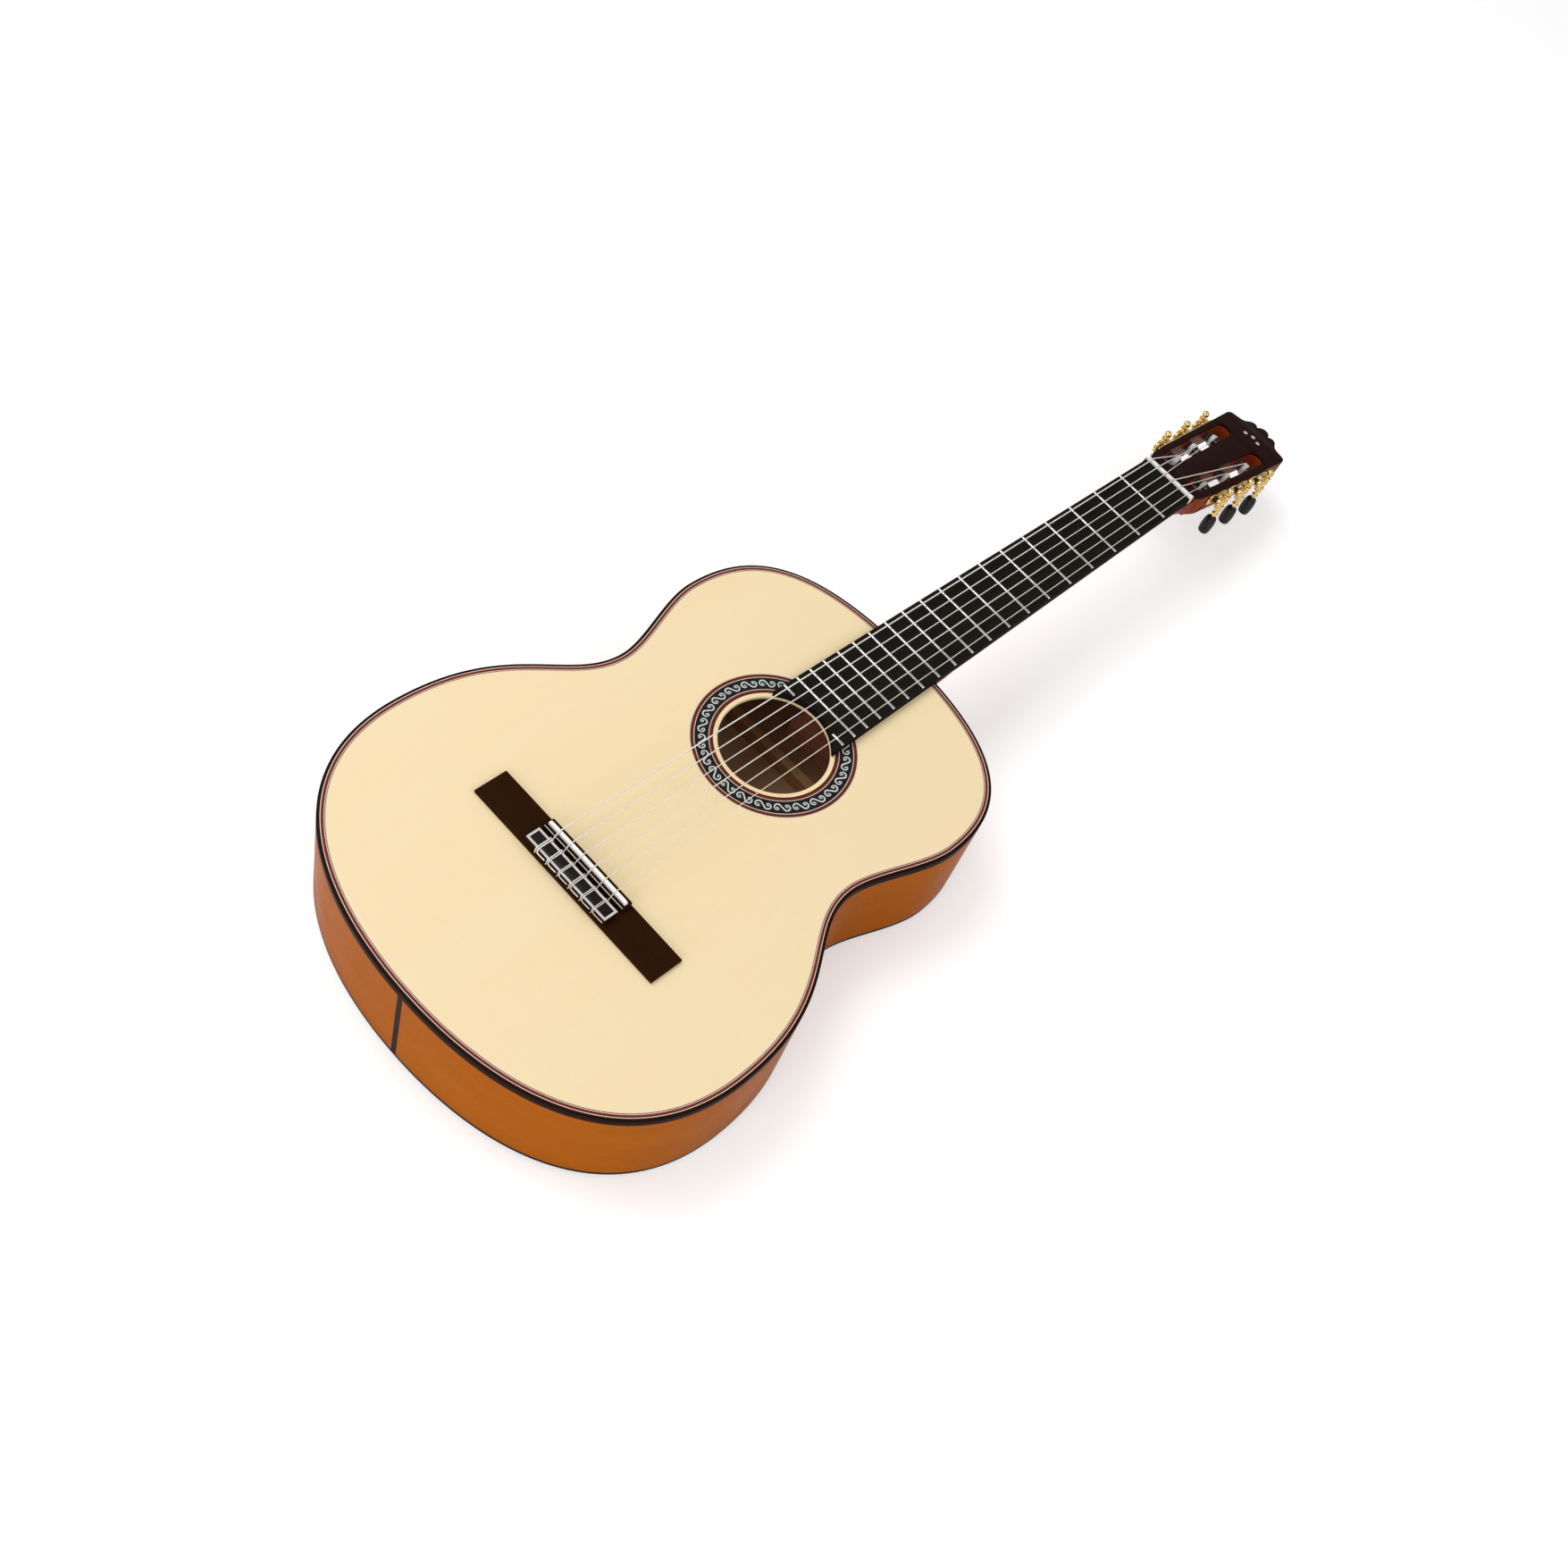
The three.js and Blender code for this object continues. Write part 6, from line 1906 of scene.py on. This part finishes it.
class GUITAR_OT_stage(bpy.types.Operator):
    """Set the camera, the floor and soft studio light"""

    bl_idname = "guitar.stage"
    bl_label = "Stage"

    def execute(self, context):
        scene = context.scene
        scene.view_settings.view_transform = "Standard"
        self.camera(scene)
        self.floor(scene)
        self.lights(scene)
        self.world(scene)
        return {"FINISHED"}

    def camera(self, scene):
        """The camera, turned so that its right and down directions are as set."""
        sizes = look("guitar_stage")
        data = bpy.data.cameras.new("camera")
        data.sensor_width = 36
        data.lens = sizes.focal_share * data.sensor_width
        data.shift_x, data.shift_y = sizes.centre_x, sizes.centre_y
        camera = bpy.data.objects.new("camera", data)
        ahead = CAMERA_RIGHT.cross(CAMERA_DOWN).normalized()
        up = CAMERA_RIGHT.cross(ahead)
        turn = Matrix((CAMERA_RIGHT, up, -ahead)).transposed()
        camera.matrix_world = Matrix.Translation(CAMERA_PLACE) @ turn.to_4x4()
        scene.collection.objects.link(camera)
        scene.camera = camera

    def floor(self, scene):
        """A pale floor that brightens to plain white for the eye but keeps the shadow."""
        mesh = bpy.data.meshes.new("floor")
        corners = [(x * FLOOR_REACH, y * FLOOR_REACH, 0) for x, y in ((-1, -1), (1, -1), (1, 1), (-1, 1))]
        mesh.from_pydata(corners, [], [range(len(corners))])
        made, steps, shader = new_material("floor_paint", specular=0.0)
        base = (*look("guitar_stage").floor, 1)
        spot = place_of(steps)
        steps.tree.links.new(
            steps.blend(steps.noise(spot, 3.0), base, shades(base[:3], 0.995)), shader.inputs["Base Color"])
        shader.inputs["Roughness"].default_value = 0.9
        shader.inputs["Emission Color"].default_value = (1, 1, 1, 1)
        glow = steps.math("MULTIPLY", self.seen(steps), FLOOR_GLOW)
        steps.tree.links.new(glow, shader.inputs["Emission Strength"])
        mesh.materials.append(made)
        floor = bpy.data.objects.new("floor", mesh)
        scene.collection.objects.link(floor)

    def seen(self, steps):
        """One where the eye sees a surface, straight or through a clear one, else nought."""
        path = steps.add("ShaderNodeLightPath")
        return steps.math("MAXIMUM", path.outputs["Is Camera Ray"], path.outputs["Is Transmission Ray"])

    def lights(self, scene):
        """A broad key from the upper left of the view, a fill and a low light for the sides."""
        for name, spot, size, power in (
            ("key", (-1.2, -0.2, 2.0), 1.6, 26),
            ("fill", (1.6, 0.6, 1.7), 1.6, 11),
            ("side", (0.5, -2.0, 0.75), 1.4, 16),
        ):
            data = bpy.data.lights.new(name, "AREA")
            data.size = size
            data.energy = power
            lamp = bpy.data.objects.new(name, data)
            lamp.location = spot
            lamp.rotation_mode = "QUATERNION"
            lamp.rotation_quaternion = (-Vector(spot)).to_track_quat("-Z", "Y")
            scene.collection.objects.link(lamp)

    def world(self, scene):
        """Plain white to the eye, and less than half of that as light and in reflections."""
        world = bpy.data.worlds.new("studio")
        world.use_nodes = True
        steps = Steps(world.node_tree)
        background = world.node_tree.nodes["Background"]
        background.inputs["Color"].default_value = (1, 1, 1, 1)
        strength = steps.span(self.seen(steps), 0, 1, WORLD_LIGHT, 1.0)
        steps.tree.links.new(strength, background.inputs["Strength"])
        scene.world = world


class GUITAR_PT_panel(bpy.types.Panel):
    """Lists the guitar's pieces in the sidebar"""

    bl_idname = "GUITAR_PT_panel"
    bl_label = "Classical Guitar"
    bl_space_type = "VIEW_3D"
    bl_region_type = "UI"
    bl_category = "Guitar"

    def draw(self, context):
        for operator in OPERATORS:
            self.layout.operator(operator.bl_idname)
        for name in LOOKS:
            group = getattr(context.scene, name)
            box = self.layout.box()
            for key in group.__annotations__:
                box.prop(group, key)


OPERATORS = (
    GUITAR_OT_stage,
    GUITAR_OT_soundboard,
    GUITAR_OT_edging,
    GUITAR_OT_sides,
    GUITAR_OT_back,
    GUITAR_OT_inside,
    GUITAR_OT_rosette,
    GUITAR_OT_neck,
    GUITAR_OT_fingerboard,
    GUITAR_OT_nut_and_saddle,
    GUITAR_OT_bridge,
    GUITAR_OT_strings,
    GUITAR_OT_machines,
)
CLASSES = (*LOOKS.values(), *OPERATORS, GUITAR_PT_panel)


def register():
    for cls in CLASSES:
        bpy.utils.register_class(cls)
    for name, group in LOOKS.items():
        setattr(bpy.types.Scene, name, PointerProperty(type=group))


def unregister():
    for name in LOOKS:
        delattr(bpy.types.Scene, name)
    for cls in reversed(CLASSES):
        bpy.utils.unregister_class(cls)


def main():
    register()
    for operator in OPERATORS:
        family, name = operator.bl_idname.split(".")
        getattr(getattr(bpy.ops, family), name)()
    bpy.context.view_layer.update()


if __name__ == "__main__":
    main()
